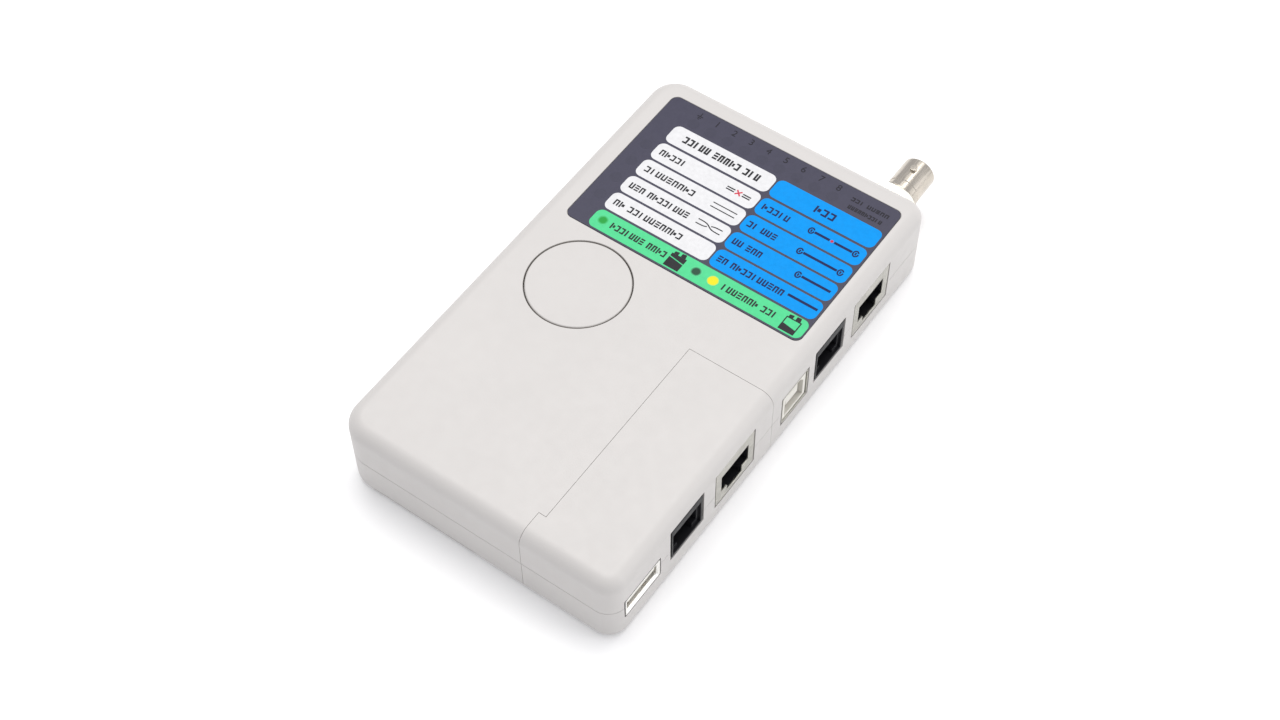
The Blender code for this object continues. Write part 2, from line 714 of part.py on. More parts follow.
def make_lamps(parent):
    """Domed 3 mm lamps that share one mesh for each colour."""
    base = DISPLAY_BOARD_TOP + REST_GAP
    dome = LAMP_TOP_Z - LAMP_RADIUS
    profile = [
        (0.0, base),
        (LAMP_COLLAR_RADIUS, base),
        (LAMP_COLLAR_RADIUS, base + LAMP_COLLAR_HEIGHT),
        (LAMP_RADIUS, base + LAMP_COLLAR_HEIGHT),
    ]
    for i in range(LAMP_DOME_STEPS + 1):
        angle = math.pi / 2 * i / LAMP_DOME_STEPS
        radius = 0.0 if i == LAMP_DOME_STEPS else LAMP_RADIUS * math.cos(angle)
        profile.append((radius, dome + LAMP_RADIUS * math.sin(angle)))
    colours = {"lamp_battery_good": "lamp_green", "lamp_battery_mid": "lamp_smoke",
               "lamp_battery_low": "lamp_yellow"}
    for name, x, y in lamp_places():
        lamp = turned(name, profile, LAMP_STEPS)
        finish(lamp, colours.get(name, "lamp_red"), (x, y, 0.0), parent)


def make_test_switch(main_parent, button_parent):
    """Switch on the display board, its plunger, and the round cap above it."""
    base = DISPLAY_BOARD_TOP + REST_GAP
    reach = SWITCH_HALF_WIDTH
    body = box("test_switch_body", (BUTTON_X - reach, BUTTON_Y - reach, base),
               (BUTTON_X + reach, BUTTON_Y + reach, base + SWITCH_HEIGHT))
    cut(body, cylinder("hole", (BUTTON_X, BUTTON_Y), SWITCH_HOLE_RADIUS, base + SWITCH_HOLE_FLOOR,
                       base + BEYOND))
    finish(body, "black_plastic", parent=main_parent)
    plunger = cylinder("test_switch_plunger", (0.0, 0.0), PLUNGER_RADIUS, base + PLUNGER_RISE[0],
                       base + PLUNGER_RISE[1])
    finish(plunger, "white_plastic", (BUTTON_X, BUTTON_Y, 0.0), button_parent)
    post_low = base + PLUNGER_RISE[1] + SPLIT_GAP
    flange_low, flange_high = BUTTON_FLANGE_Z
    profile = (
        (0.0, CASE_Z),
        (BUTTON_RADIUS - BUTTON_RIM, CASE_Z),
        (BUTTON_RADIUS, CASE_Z - BUTTON_RIM),
        (BUTTON_RADIUS, flange_high),
        (BUTTON_FLANGE_RADIUS, flange_high),
        (BUTTON_FLANGE_RADIUS, flange_low),
        (BUTTON_SKIRT_RADIUS, flange_low),
        (BUTTON_SKIRT_RADIUS, BUTTON_INSIDE_Z),
        (BUTTON_POST_RADIUS, BUTTON_INSIDE_Z),
        (BUTTON_POST_RADIUS, post_low),
        (0.0, post_low),
    )
    cap = turned("test_button_cap", profile, BUTTON_STEPS)
    finish(cap, "abs_light", (BUTTON_X, BUTTON_Y, 0.0), button_parent)


def make_battery(parent):
    """9 V battery, its snap connector and two leads to the board."""
    middle_x, middle_z = sum(BATTERY_X) / 2, sum(BATTERY_Z) / 2
    front = BATTERY_Y[1]
    battery = prism("battery_9v", rounded_rectangle(BATTERY_X, BATTERY_Z, BATTERY_RADIUS, 3),
                    BATTERY_Y[0], front, "Y")
    outline = rounded_rectangle((middle_x - SNAP_HALF[0], middle_x + SNAP_HALF[0]),
                                (middle_z - SNAP_HALF[1], middle_z + SNAP_HALF[1]), SNAP_RADIUS, 3)
    snap = prism("battery_snap", outline, front + SNAP_Y[0], front + SNAP_Y[1], "Y")
    for side, radius in zip((-1, 1), TERMINAL_RADII):
        centre = (middle_x + side * TERMINAL_OFFSET, middle_z)
        join(battery, cylinder("terminal", centre, radius, front - 0.5, front + TERMINAL_HEIGHT, "Y", 12))
        cut(snap, cylinder("socket", centre, radius + 0.3, front, front + TERMINAL_HEIGHT + 0.5, "Y", 12))
    finish(battery, "battery_case", parent=parent)
    finish(snap, "black_plastic", parent=parent)
    for name, x, colour in LEADS:
        route = [(x, front + LEAD_LEAVES + y, z) for y, z in LEAD_ROUTE]
        finish(tube(name, route, LEAD_RADIUS), colour, parent=parent)


def tube(name, route, radius):
    """Round wire along a smooth curve through the route's points."""
    points = [Vector(point) for point in route]
    smooth = []
    for i in range(len(points) - 1):
        before = points[max(i - 1, 0)]
        after = points[min(i + 2, len(points) - 1)]
        for step in range(3):
            t = step / 3
            smooth.append(0.5 * (2 * points[i] + (points[i + 1] - before) * t
                                 + (2 * before - 5 * points[i] + 4 * points[i + 1] - after) * t ** 2
                                 + (3 * points[i] - before - 3 * points[i + 1] + after) * t ** 3))
    smooth.append(points[-1])
    curve = bpy.data.curves.new(name, "CURVE")
    curve.dimensions = "3D"
    curve.bevel_depth = radius * MM
    curve.bevel_resolution = 2
    curve.use_fill_caps = True
    spline = curve.splines.new("POLY")
    spline.points.add(len(smooth) - 1)
    for target, point in zip(spline.points, smooth):
        target.co = (*(point * MM), 1.0)
    source = bpy.data.objects.new(name + "_curve", curve)
    bpy.context.scene.collection.objects.link(source)
    bpy.context.view_layer.update()
    graph = bpy.context.evaluated_depsgraph_get()
    mesh = bpy.data.meshes.new_from_object(source.evaluated_get(graph))
    bpy.data.objects.remove(source)
    item = bpy.data.objects.new(name, mesh)
    bpy.context.scene.collection.objects.link(item)
    return item


# ---------------------------------------------------------------- sockets

def plug_outline(half_width, step_z, latch_half_width, latch_z):
    """Section of a modular plug's way: wide above, with the latch's notch below."""
    return (
        (-half_width, PLUG_TOP_Z),
        (-half_width, step_z),
        (-latch_half_width, step_z),
        (-latch_half_width, latch_z),
        (latch_half_width, latch_z),
        (latch_half_width, step_z),
        (half_width, step_z),
        (half_width, PLUG_TOP_Z),
    )


RJ45_WAY = plug_outline(6.0, 10.1, 3.3, 7.8)
RJ11_WAY = plug_outline(5.0, 10.3, 3.1, 8.9)


def contact_comb(name, count):
    """Sprung contacts joined by their carrier, sloping down from the socket's roof."""
    first = -(count - 1) / 2 * CONTACT_PITCH
    end = first - CONTACT_HALF_WIDTH - CARRIER_MARGIN
    outline = [(0.0, -end), (0.0, end), (-CARRIER_LENGTH, end)]
    for i in range(count):
        low = first + i * CONTACT_PITCH - CONTACT_HALF_WIDTH
        high = low + 2 * CONTACT_HALF_WIDTH
        outline.append((-CARRIER_LENGTH, low))
        outline.append((-CONTACT_LENGTH, low))
        outline.append((-CONTACT_LENGTH, high))
        outline.append((-CARRIER_LENGTH, high))
    outline.append((-CARRIER_LENGTH, -end))
    comb = prism(name, outline, 0.0, CONTACT_THICKNESS)
    root_x, root_z = CONTACT_ROOT
    comb.data.transform(Matrix.Translation(Vector((root_x, 0.0, root_z)) * MM)
                        @ Matrix.Rotation(math.radians(CONTACT_SLOPE), 4, "Y"))
    return comb


def contact_slot(count):
    """Slot in a socket's roof for the contacts' carrier."""
    half = (count / 2 + CONTACT_HALF_WIDTH) * CONTACT_PITCH + CARRIER_MARGIN
    return box("slot", (CONTACT_SLOT_X[0], -half, PLUG_TOP_Z - CONTACT_THICKNESS),
               (CONTACT_SLOT_X[1], half, PLUG_TOP_Z + CONTACT_SLOT_HEIGHT))


def rj45_parts(prefix, y, parent):
    """Shielded eight-way modular socket: shield, insert and contacts."""
    half = RJ45_HALF_WIDTH
    low, high = RJ45_Z
    shield = box(prefix + "_rj45_shield", (-RJ45_DEPTH, -half, low), (0.0, half, high))
    inside = box("inside", (-RJ45_DEPTH - 1, METAL - half, low + METAL), (-METAL, half - METAL, high - METAL))
    cut(shield, inside, prism("way", RJ45_WAY, -2 * WALL, 1.0, "X"))
    finish(shield, "tin_plate", (SOCKET_FACE_X, y, 0.0), parent)
    wall = METAL + REST_GAP
    insert = box(prefix + "_rj45_insert", (REST_GAP - RJ45_DEPTH, wall - half, low + wall),
                 (-wall, half - wall, high - wall))
    cut(insert, prism("way", RJ45_WAY, -RJ45_WAY_DEPTH, 1.0, "X"), contact_slot(8))
    finish(insert, "black_plastic", (SOCKET_FACE_X, y, 0.0), parent)
    finish(contact_comb(prefix + "_rj45_contacts", 8), "gold_plate", (SOCKET_FACE_X, y, 0.0), parent)


def rj11_parts(prefix, y, parent):
    """Plain six-way modular socket with four contacts."""
    half = RJ11_HALF_WIDTH
    low, high = RJ11_Z
    housing = box(prefix + "_rj11_housing", (-RJ11_DEPTH, -half, low), (0.0, half, high))
    join(housing, box("heel", (-RJ11_DEPTH, -half, MAIN_BOARD_TOP + REST_GAP), (RJ11_HEEL_X, half, low + 1)))
    lead_in = box("lead_in", (-RJ11_LEAD_IN_DEPTH, -RJ11_LEAD_IN_HALF, RJ11_LEAD_IN_Z[0]),
                  (1.0, RJ11_LEAD_IN_HALF, RJ11_LEAD_IN_Z[1]))
    cut(housing, lead_in, prism("way", RJ11_WAY, -RJ11_WAY_DEPTH, 1.0, "X"), contact_slot(4))
    finish(housing, "black_plastic", (SOCKET_FACE_X, y, 0.0), parent)
    finish(contact_comb(prefix + "_rj11_contacts", 4), "gold_plate", (SOCKET_FACE_X, y, 0.0), parent)


def usb_b_parts(parent):
    """Square USB socket: metal shell around a moulded insert with its block."""
    half = USB_B_HALF_WIDTH
    low, high = USB_B_Z
    shell_part = box("usb_b_shell", (-USB_B_DEPTH, -half, low), (0.0, half, high))
    cut(shell_part, box("inside", (-USB_B_DEPTH - 1, METAL - half, low + METAL),
                        (1.0, half - METAL, high - METAL)))
    finish(shell_part, "tin_plate", (SOCKET_FACE_X, USB_B_Y, 0.0), parent)
    wall = METAL + REST_GAP
    insert = box("usb_b_insert", (REST_GAP - USB_B_DEPTH, wall - half, low + wall),
                 (-REST_GAP, half - wall, high - wall))
    centre_z = (low + high) / 2
    way_half, way_rise = USB_B_WAY_HALF, USB_B_WAY_HALF_HEIGHT
    way = (
        (-way_half, centre_z - way_rise),
        (way_half, centre_z - way_rise),
        (way_half, centre_z + way_rise - USB_B_WAY_CHAMFER),
        (way_half - USB_B_WAY_CHAMFER, centre_z + way_rise),
        (USB_B_WAY_CHAMFER - way_half, centre_z + way_rise),
        (-way_half, centre_z + way_rise - USB_B_WAY_CHAMFER),
    )
    ring = prism("way", way, -USB_B_WAY_DEPTH, 1.0, "X")
    block_half, block_rise = USB_B_BLOCK_HALF
    cut(ring, box("block", (-USB_B_DEPTH, -block_half, centre_z - block_rise),
                  (USB_B_BLOCK_X, block_half, centre_z + block_rise)))
    cut(insert, ring)
    finish(insert, "white_plastic", (SOCKET_FACE_X, USB_B_Y, 0.0), parent)


def usb_a_parts(parent):
    """Flat USB socket: metal shell with a front lip, and its tongue."""
    low, high = USB_A_Z
    centre_z = (low + high) / 2
    half, rise = USB_A_TUBE_HALF, USB_A_TUBE_HALF_HEIGHT
    shell_part = box("usb_a_shell", (-USB_A_DEPTH, -half, centre_z - rise), (0.0, half, centre_z + rise))
    join(shell_part, box("lip", (-METAL, -USB_A_HALF_WIDTH, low), (0.0, USB_A_HALF_WIDTH, high)))
    cut(shell_part, box("inside", (-USB_A_DEPTH - 1, METAL - half, centre_z - rise + METAL),
                        (1.0, half - METAL, centre_z + rise - METAL)))
    finish(shell_part, "tin_plate", (SOCKET_FACE_X, USB_A_Y, 0.0), parent)
    base_half, blade_half = USB_A_TONGUE_HALF
    blade_low, blade_high = USB_A_TONGUE_RISE
    tongue = box("usb_a_tongue", (USB_A_TONGUE_BACK_X, -base_half, MAIN_BOARD_TOP + REST_GAP),
                 (-USB_A_DEPTH - SPLIT_GAP, base_half, centre_z + rise))
    join(tongue, box("blade", (USB_A_TONGUE_BACK_X + 1, -blade_half, centre_z + blade_low),
                     (USB_A_TONGUE_TIP_X, blade_half, centre_z + blade_high)))
    finish(tongue, "white_plastic", (SOCKET_FACE_X, USB_A_Y, 0.0), parent)


def make_bnc(parent):
    """Coaxial jack: body with bayonet lugs, insulator, centre contact, washer and nut."""
    place = (BNC_X, 0.0, BNC_Z)
    half = BNC_BLOCK_HALF
    body = box("bnc_body", (-half, BNC_BLOCK_Y[0], MAIN_BOARD_TOP + SPLIT_GAP - BNC_Z),
               (half, BNC_BLOCK_Y[1], half))
    join(body, cylinder("neck", (0.0, 0.0), BNC_NECK_RADIUS, HALF_Y - 2 * WALL, BNC_NECK_Y, "Y", BNC_STEPS))
    join(body, cylinder("barrel", (0.0, 0.0), BNC_BARREL_RADIUS, BNC_NECK_Y - 1, BNC_TIP_Y, "Y", BNC_STEPS))
    join(body, cylinder("lugs", (0.0, BNC_TIP_Y - BNC_LUG_FROM_TIP), BNC_LUG_RADIUS,
                        -BNC_LUG_REACH, BNC_LUG_REACH, "Z", 12))
    cut(body, cylinder("bore", (0.0, 0.0), BNC_BORE_RADIUS, BNC_NECK_Y + 1, BNC_TIP_Y + 1, "Y", BNC_STEPS))
    finish(body, "nickel", place, parent)
    seat = BNC_NECK_Y + 1 + SPLIT_GAP
    flange_top = seat + BNC_INSULATOR_FLANGE
    tip = BNC_TIP_Y - BNC_INSULATOR_FROM_TIP
    hole, stem, flange = BNC_INSULATOR_RADII
    section = ((hole, seat), (flange, seat), (flange, flange_top), (stem, flange_top), (stem, tip),
               (hole, tip))
    finish(turned("bnc_insulator", section, 20, "Y", True), "white_plastic", place, parent)
    tip = BNC_TIP_Y - BNC_CONTACT_FROM_TIP
    section = ((0.0, seat), (BNC_CONTACT_RADIUS, seat), (BNC_CONTACT_RADIUS, tip), (0.0, tip))
    finish(turned("bnc_centre_contact", section, 12, "Y"), "gold_plate", place, parent)
    low = HALF_Y + SPLIT_GAP
    high = low + BNC_WASHER_HEIGHT
    section = ((BNC_HOLE_RADIUS, low), (BNC_WASHER_RADIUS, low), (BNC_WASHER_RADIUS, high),
               (BNC_HOLE_RADIUS, high))
    finish(turned("bnc_washer", section, BNC_STEPS, "Y", True), "nickel", place, parent)
    low = high + SPLIT_GAP
    corner = BNC_NUT_FLATS / 2 / math.cos(math.pi / 6)
    nut = prism("bnc_nut", circle(0.0, 0.0, corner, 6, math.pi), low, low + BNC_NUT_HEIGHT, "Y")
    cut(nut, cylinder("hole", (0.0, 0.0), BNC_HOLE_RADIUS, low - 1, low + BEYOND, "Y", BNC_STEPS))
    finish(nut, "nickel", place, parent)


def make_screws(main_parent, remote_parent):
    """Pan-head screws with a cross recess, in both units."""
    head_low = SCREW_HEAD_LOW_Z
    head_top = COUNTERBORE_Z - SCREW_HEAD_GAP
    chamfer, chamfer_height = SCREW_HEAD_CHAMFER
    profile = (
        (0.0, SCREW_TIP_Z),
        (SCREW_SHANK_RADIUS, SCREW_TIP_Z - SCREW_TIP_TAPER),
        (SCREW_SHANK_RADIUS, head_top),
        (SCREW_HEAD_RADIUS, head_top),
        (SCREW_HEAD_RADIUS, head_low + chamfer_height),
        (SCREW_HEAD_RADIUS - chamfer, head_low),
        (0.0, head_low),
    )
    first = turned("case_screw_1", profile, 12)
    long_half, short_half = RECESS_HALF
    for x, y in ((long_half, short_half), (short_half, long_half)):
        cut(first, box("recess", (-x, -y, 0.0), (x, y, head_low + RECESS_DEPTH)))
    names = ["case_screw_%d" % (i + 1) for i in range(len(CASE_SCREWS))]
    names += ["remote_screw_%d" % (i + 1) for i in range(len(REMOTE_SCREWS))]
    parents = [main_parent] * len(CASE_SCREWS) + [remote_parent] * len(REMOTE_SCREWS)
    for i, (x, y) in enumerate(CASE_SCREWS + REMOTE_SCREWS):
        screw = first if i == 0 else copy_of(first, names[i])
        finish(screw, "screw_steel", (x, y, 0.0), parents[i])


def main():
    """Build the tester."""
    for item in list(bpy.data.objects):
        bpy.data.objects.remove(item)
    main_unit = body_empty("main_unit", (0.0, 0.0, 0.0))
    remote_unit = body_empty("remote_unit", (SEAM_X, FOOT_Y, SPLIT_Z))
    test_button = body_empty("test_button", (BUTTON_X, BUTTON_Y, CASE_Z))
    door = body_empty("battery_door_slide", (sum(DOOR_X) / 2, DOOR_END_Y, 0.0))
    make_top_cover(main_unit)
    make_bottom_cover(main_unit)
    make_remote_covers(remote_unit)
    make_battery_door(door)
    make_label(main_unit)
    make_boards(main_unit, remote_unit)
    make_lamps(main_unit)
    make_test_switch(main_unit, test_button)
    make_battery(main_unit)
    rj45_parts("main", RJ45_MAIN_Y, main_unit)
    rj45_parts("remote", RJ45_REMOTE_Y, remote_unit)
    rj11_parts("main", RJ11_MAIN_Y, main_unit)
    rj11_parts("remote", RJ11_REMOTE_Y, remote_unit)
    usb_b_parts(main_unit)
    usb_a_parts(remote_unit)
    make_bnc(main_unit)
    make_screws(main_unit, remote_unit)


main()
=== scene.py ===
"""Looks of the network cable tester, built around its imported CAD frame.

Shapes are worked out in millimetres, in the part's own frame, and made in metres.
Each section replaces or dresses the CAD nodes of one area of the tester; the last
section sets the stage.
"""
import math

import bmesh
import bpy
from mathutils import Matrix, Vector


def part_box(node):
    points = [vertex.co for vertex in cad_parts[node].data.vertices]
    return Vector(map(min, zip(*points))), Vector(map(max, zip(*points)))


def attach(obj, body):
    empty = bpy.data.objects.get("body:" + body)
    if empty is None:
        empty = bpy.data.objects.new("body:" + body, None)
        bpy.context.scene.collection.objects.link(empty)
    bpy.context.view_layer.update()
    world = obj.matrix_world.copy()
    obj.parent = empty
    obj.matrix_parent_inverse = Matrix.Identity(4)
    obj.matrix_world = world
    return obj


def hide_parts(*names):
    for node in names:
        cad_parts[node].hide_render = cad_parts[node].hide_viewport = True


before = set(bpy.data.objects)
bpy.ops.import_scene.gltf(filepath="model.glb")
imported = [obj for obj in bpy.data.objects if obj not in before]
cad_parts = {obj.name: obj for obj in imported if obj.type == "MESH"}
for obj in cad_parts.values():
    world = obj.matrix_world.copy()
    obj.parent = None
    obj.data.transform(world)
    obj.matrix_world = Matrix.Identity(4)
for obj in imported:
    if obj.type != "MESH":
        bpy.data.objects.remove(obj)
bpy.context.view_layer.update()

MM = 0.001
MAIN = "main_unit"
REMOTE = "remote_unit"
BUTTON = "test_button"
DOOR = "battery_door"


def span(node):
    """Lowest and highest x, y and z of a CAD node at rest, in millimetres."""
    low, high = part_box(node)
    return [(low[axis] / MM, high[axis] / MM) for axis in range(3)]


# Case outline
HALF_X = span("top_cover")[0][1]
HALF_Y = span("top_cover")[1][1]
CASE_Z = span("top_cover")[2][1]
LEFT_RADIUS = 8.0
RIGHT_RADIUS = 5.5
TOP_FILLET = 4.0
BOTTOM_FILLET = 2.5
WALL = 2.0
FLOOR = 2.2
SPLIT_Z = 12.0
SPLIT_GAP = 0.14
CORNER_STEPS = 14
FILLET_STEPS = 9
FLARE_STEPS = 3
WIRE_STEPS = 10
EDGE = 0.2
FINE_EDGE = 0.06
SHARP_ANGLE = 35.0
BEYOND = 5.0

# Lip that closes the line between the covers
LIP_OUTER = 1.2
LIP_INNER = 1.8
LIP_HEIGHT = 1.0
LIP_PLAY = 0.12

# Remote unit's seam and rail
SEAM_X = 16.95
SEAM_Y = -3.6
FOOT_X = 14.8
FOOT_Y = -63.8
SEAM_GAP = 0.08
RAIL_WALL = 4.1
RAIL_NECK_X = 16.1
RAIL_HEAD_X = 15.15
RAIL_NECK_Z = (6.0, 8.0)
RAIL_HEAD_Z = (5.0, 9.0)
RAIL_Y = (-61.5, -8.0)
RAIL_PLAY = 0.25

# Label
LABEL_X, LABEL_Y, LABEL_Z = span("face_label")
LABEL_PLAY = 0.15
LABEL_RADIUS = 2.05
LABEL_RECESS = 0.45
LAMP_HOLE_RADIUS = 1.75

# Button
BUTTON_BOX = span("test_button_cap")
BUTTON_X = sum(BUTTON_BOX[0]) / 2
BUTTON_Y = sum(BUTTON_BOX[1]) / 2
BUTTON_RADIUS = 14.0
BUTTON_HOLE_RADIUS = 14.35
BUTTON_RIM = 0.45
BUTTON_STEPS = 96

# Boards
BOARD_BOTTOM, BOARD_TOP = span("main_circuit_board")[2]
DISPLAY_BOARD_TOP = span("display_board")[2][1]
BOARD_PLAY = 0.2
DISPLAY_POSTS = ((-32.5, 55.0), (20.2, 50.0), (20.2, 2.0), (-33.0, 19.0))
DISPLAY_POST_RADIUS = 1.6
MAIN_POSTS = ((-34.0, 50.0), (-34.0, 2.0), (16.0, 50.0), (16.0, 4.0))
MAIN_POST_RADIUS = 2.0

# Sockets
SOCKET_FORWARD = 0.25
SOCKET_FACE_X = span("main_rj45_shield")[0][1] + SOCKET_FORWARD
CUTOUT_PLAY = 0.42
HOUSING_PLAY = 0.16
METAL = 0.4
PLUG_TOP_Z = 16.8
CONTACT_PITCH = 1.02
CONTACT_WIRE_RADIUS = 0.2
RJ11_LOW_Z = 8.2

# Coaxial jack
BNC_X = sum(span("bnc_washer")[0]) / 2
BNC_Z = sum(span("bnc_washer")[2]) / 2
BNC_TIP_Y = span("bnc_body")[1][1]
BNC_NECK_Y = 78.0
BNC_BARREL_RADIUS = 4.8
BNC_BORE_RADIUS = 4.05
BNC_NECK_RADIUS = 6.3
BNC_HOLE_RADIUS = 6.6
BNC_LUG_RADIUS = 1.0
BNC_LUG_REACH = 5.6
BNC_LUG_SETBACK = 4.2
BNC_WASHER_RADIUS = 8.2
BNC_THREAD_PITCH = 0.7
BNC_THREAD_DEPTH = 0.14
BNC_STEPS = 64

# Lamps
LAMP_RADIUS = 1.45
LAMP_COLLAR_RADIUS = 1.9
LAMP_COLLAR_HEIGHT = 1.0
LAMP_EASES = 9

# Battery
BATTERY_BAND = 15.4
BATTERY_SHOULDER = 2.4
BATTERY_STUDS = ((-6.35, 2.9), (6.35, 4.0))

# Battery door
DOOR_BOX = span("battery_door")
DOOR_TONGUE = 1.2
DOOR_TONGUE_Z = 1.1
DOOR_PLAY = 0.3
DOOR_FRAME = 2.0
DOOR_FRAME_RISE = 1.3
DOOR_LEDGE = 1.0
GRIP_COUNT = 4
GRIP_Y = -60.0
GRIP_PITCH = 2.4
GRIP_WIDTH = 1.2
GRIP_REACH = 5.0
GRIP_DEPTH = 0.6
ARROW_Y = (-45.5, -42.0)
ARROW_REACH = 3.0
ARROW_DEPTH = 0.35

# Screws
BOSS_RADIUS = 3.4
SCREW_HOLE_RADIUS = 1.7
COUNTERBORE_RADIUS = 2.85
COUNTERBORE_Z = 4.0
SCREW_TIP_Z = 20.0
SCREW_PITCH = 1.1


def node_centre(node):
    """Middle of a CAD node in plan, in millimetres."""
    place = span(node)
    return sum(place[0]) / 2, sum(place[1]) / 2


CASE_SCREWS = [node_centre("case_screw_%d" % (i + 1)) for i in range(4)]
REMOTE_SCREWS = [node_centre("remote_screw_%d" % (i + 1)) for i in range(2)]
LAMP_NODES = sorted(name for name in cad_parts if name.startswith("lamp_"))


# ---------------------------------------------------------------- mesh helpers

AXES = {
    "X": lambda u, v, w: (w, u, v),
    "Y": lambda u, v, w: (u, w, v),
    "Z": lambda u, v, w: (u, v, w),
}


def placed(name, data):
    """Object for a mesh, light or camera, in the scene."""
    item = bpy.data.objects.new(name, data)
    bpy.context.scene.collection.objects.link(item)
    return item


def mesh_object(name, vertices, faces):
    """Closed mesh object from millimetre points, with its faces turned outwards."""
    mesh = bpy.data.meshes.new(name)
    mesh.from_pydata([Vector(vertex) * MM for vertex in vertices], [], faces)
    shape = bmesh.new()
    shape.from_mesh(mesh)
    bmesh.ops.recalc_face_normals(shape, faces=shape.faces)
    shape.to_mesh(mesh)
    shape.free()
    return placed(name, mesh)


def loft(name, rings):
    """Solid through rings of equal point count, with flat caps."""
    count = len(rings[0])
    vertices = [point for ring in rings for point in ring]
    faces = [tuple(range(count)), tuple((len(rings) - 1) * count + i for i in range(count))]
    for level in range(len(rings) - 1):
        base = level * count
        for i in range(count):
            j = (i + 1) % count
            faces.append((base + i, base + j, base + count + j, base + count + i))
    return mesh_object(name, vertices, faces)


def prism(name, outline, low, high, axis="Z"):
    """Outline extruded along an axis: (x, y) for Z, (y, z) for X and (x, z) for Y."""
    return loft(name, [[AXES[axis](u, v, w) for u, v in outline] for w in (low, high)])


def box(name, low, high):
    """Box between two corners."""
    outline = ((low[0], low[1]), (high[0], low[1]), (high[0], high[1]), (low[0], high[1]))
    return prism(name, outline, low[2], high[2])


def circle(x, y, radius, steps, turn=0.0):
    """Points of a circle, starting at an angle."""
    angles = [turn + 2 * math.pi * i / steps for i in range(steps)]
    return [(x + radius * math.cos(angle), y + radius * math.sin(angle)) for angle in angles]


def rounded_rectangle(x_range, y_range, radius, steps=CORNER_STEPS, right=None):
    """Rectangle outline with quarter-circle corners; the right-hand pair may differ."""
    right = radius if right is None else right
    points = []
    centres = (
        (x_range[1] - right, y_range[1] - right, right, 0.0),
        (x_range[0] + radius, y_range[1] - radius, radius, 0.5),
        (x_range[0] + radius, y_range[0] + radius, radius, 1.0),
        (x_range[1] - right, y_range[0] + right, right, 1.5),
    )
    for x, y, corner, start in centres:
        for i in range(steps + 1):
            angle = math.pi * (start + 0.5 * i / steps)
            points.append((x + corner * math.cos(angle), y + corner * math.sin(angle)))
    return points


def case_plan(inset):
    """Plan of the whole case, drawn in by some millimetres."""
    return rounded_rectangle((inset - HALF_X, HALF_X - inset), (inset - HALF_Y, HALF_Y - inset),
                             LEFT_RADIUS - inset, right=RIGHT_RADIUS - inset)


def turned(name, profile, steps, axis="Z", closed=False):
    """Profile of (radius, height) turned about an axis through the origin.

    An open profile starts and ends on the axis. A closed one is a ring's section.
    """
    place = AXES[axis]
    vertices = []
    rows = []
    for radius, height in profile:
        if radius == 0.0:
            rows.append([len(vertices)] * steps)
            vertices.append(place(0.0, 0.0, height))
        else:
            rows.append([len(vertices) + i for i in range(steps)])
            vertices += [place(x, y, height) for x, y in circle(0.0, 0.0, radius, steps)]
    faces = []
    pairs = list(zip(rows, rows[1:]))
    if closed:
        pairs.append((rows[-1], rows[0]))
    for lower, upper in pairs:
        for i in range(steps):
            j = (i + 1) % steps
            corners = (lower[i], lower[j], upper[j], upper[i])
            faces.append(tuple(dict.fromkeys(corners)))
    return mesh_object(name, vertices, faces)


def cylinder(name, centre, radius, low, high, axis="Z", steps=32):
    """Cylinder along an axis; centre is the other two coordinates."""
    return prism(name, circle(centre[0], centre[1], radius, steps), low, high, axis)


def applied(item):
    """Bake an object's modifiers into its mesh."""
    bpy.context.view_layer.update()
    graph = bpy.context.evaluated_depsgraph_get()
    result = bpy.data.meshes.new_from_object(item.evaluated_get(graph))
    item.modifiers.clear()
    item.data = result
    return item


def combine(target, tool, operation):
    """Apply one Boolean and remove the tool."""
    modifier = target.modifiers.new("shape", "BOOLEAN")
    modifier.operation = operation
    modifier.solver = "EXACT"
    modifier.object = tool
    applied(target)
    bpy.data.objects.remove(tool)
    return target


def cut(target, *tools):
    """Subtract each tool."""
    for tool in tools:
        combine(target, tool, "DIFFERENCE")
    return target


def join(target, *tools):
    """Unite each tool with the target."""
    for tool in tools:
        combine(target, tool, "UNION")
    return target


def ease_edges(item, width=EDGE, segments=3, angle=SHARP_ANGLE):
    """Round every sharp edge by a small radius."""
    modifier = item.modifiers.new("ease", "BEVEL")
    modifier.width = width * MM
    modifier.segments = segments
    modifier.limit_method = "ANGLE"
    modifier.angle_limit = math.radians(angle)
    modifier.use_clamp_overlap = False
    return applied(item)


def merged(name, items):
    """One object from separate closed pieces."""
    shape = bmesh.new()
    for item in items:
        start = len(shape.verts)
        shape.from_mesh(item.data)
        shape.verts.ensure_lookup_table()
        bmesh.ops.transform(shape, matrix=item.matrix_basis, verts=shape.verts[start:])
    mesh = bpy.data.meshes.new(name)
    shape.to_mesh(mesh)
    shape.free()
    for item in items:
        bpy.data.objects.remove(item)
    return placed(name, mesh)


def moved(item, x=0.0, y=0.0, z=0.0):
    """Shift a mesh by millimetres."""
    item.data.transform(Matrix.Translation(Vector((x, y, z)) * MM))
    return item


def wire(route, radius):
    """Round wire through a route's points, closed at both ends."""
    points = [Vector(point) for point in route]
    rings = []
    side = Vector((0.0, 1.0, 0.0))
    for i, point in enumerate(points):
        along = (points[min(i + 1, len(points) - 1)] - points[max(i - 1, 0)]).normalized()
        across = along.cross(side).normalized()
        other = across.cross(along).normalized()
        rings.append([point + across * u + other * v for u, v in circle(0.0, 0.0, radius, WIRE_STEPS)])
    return loft("wire", rings)


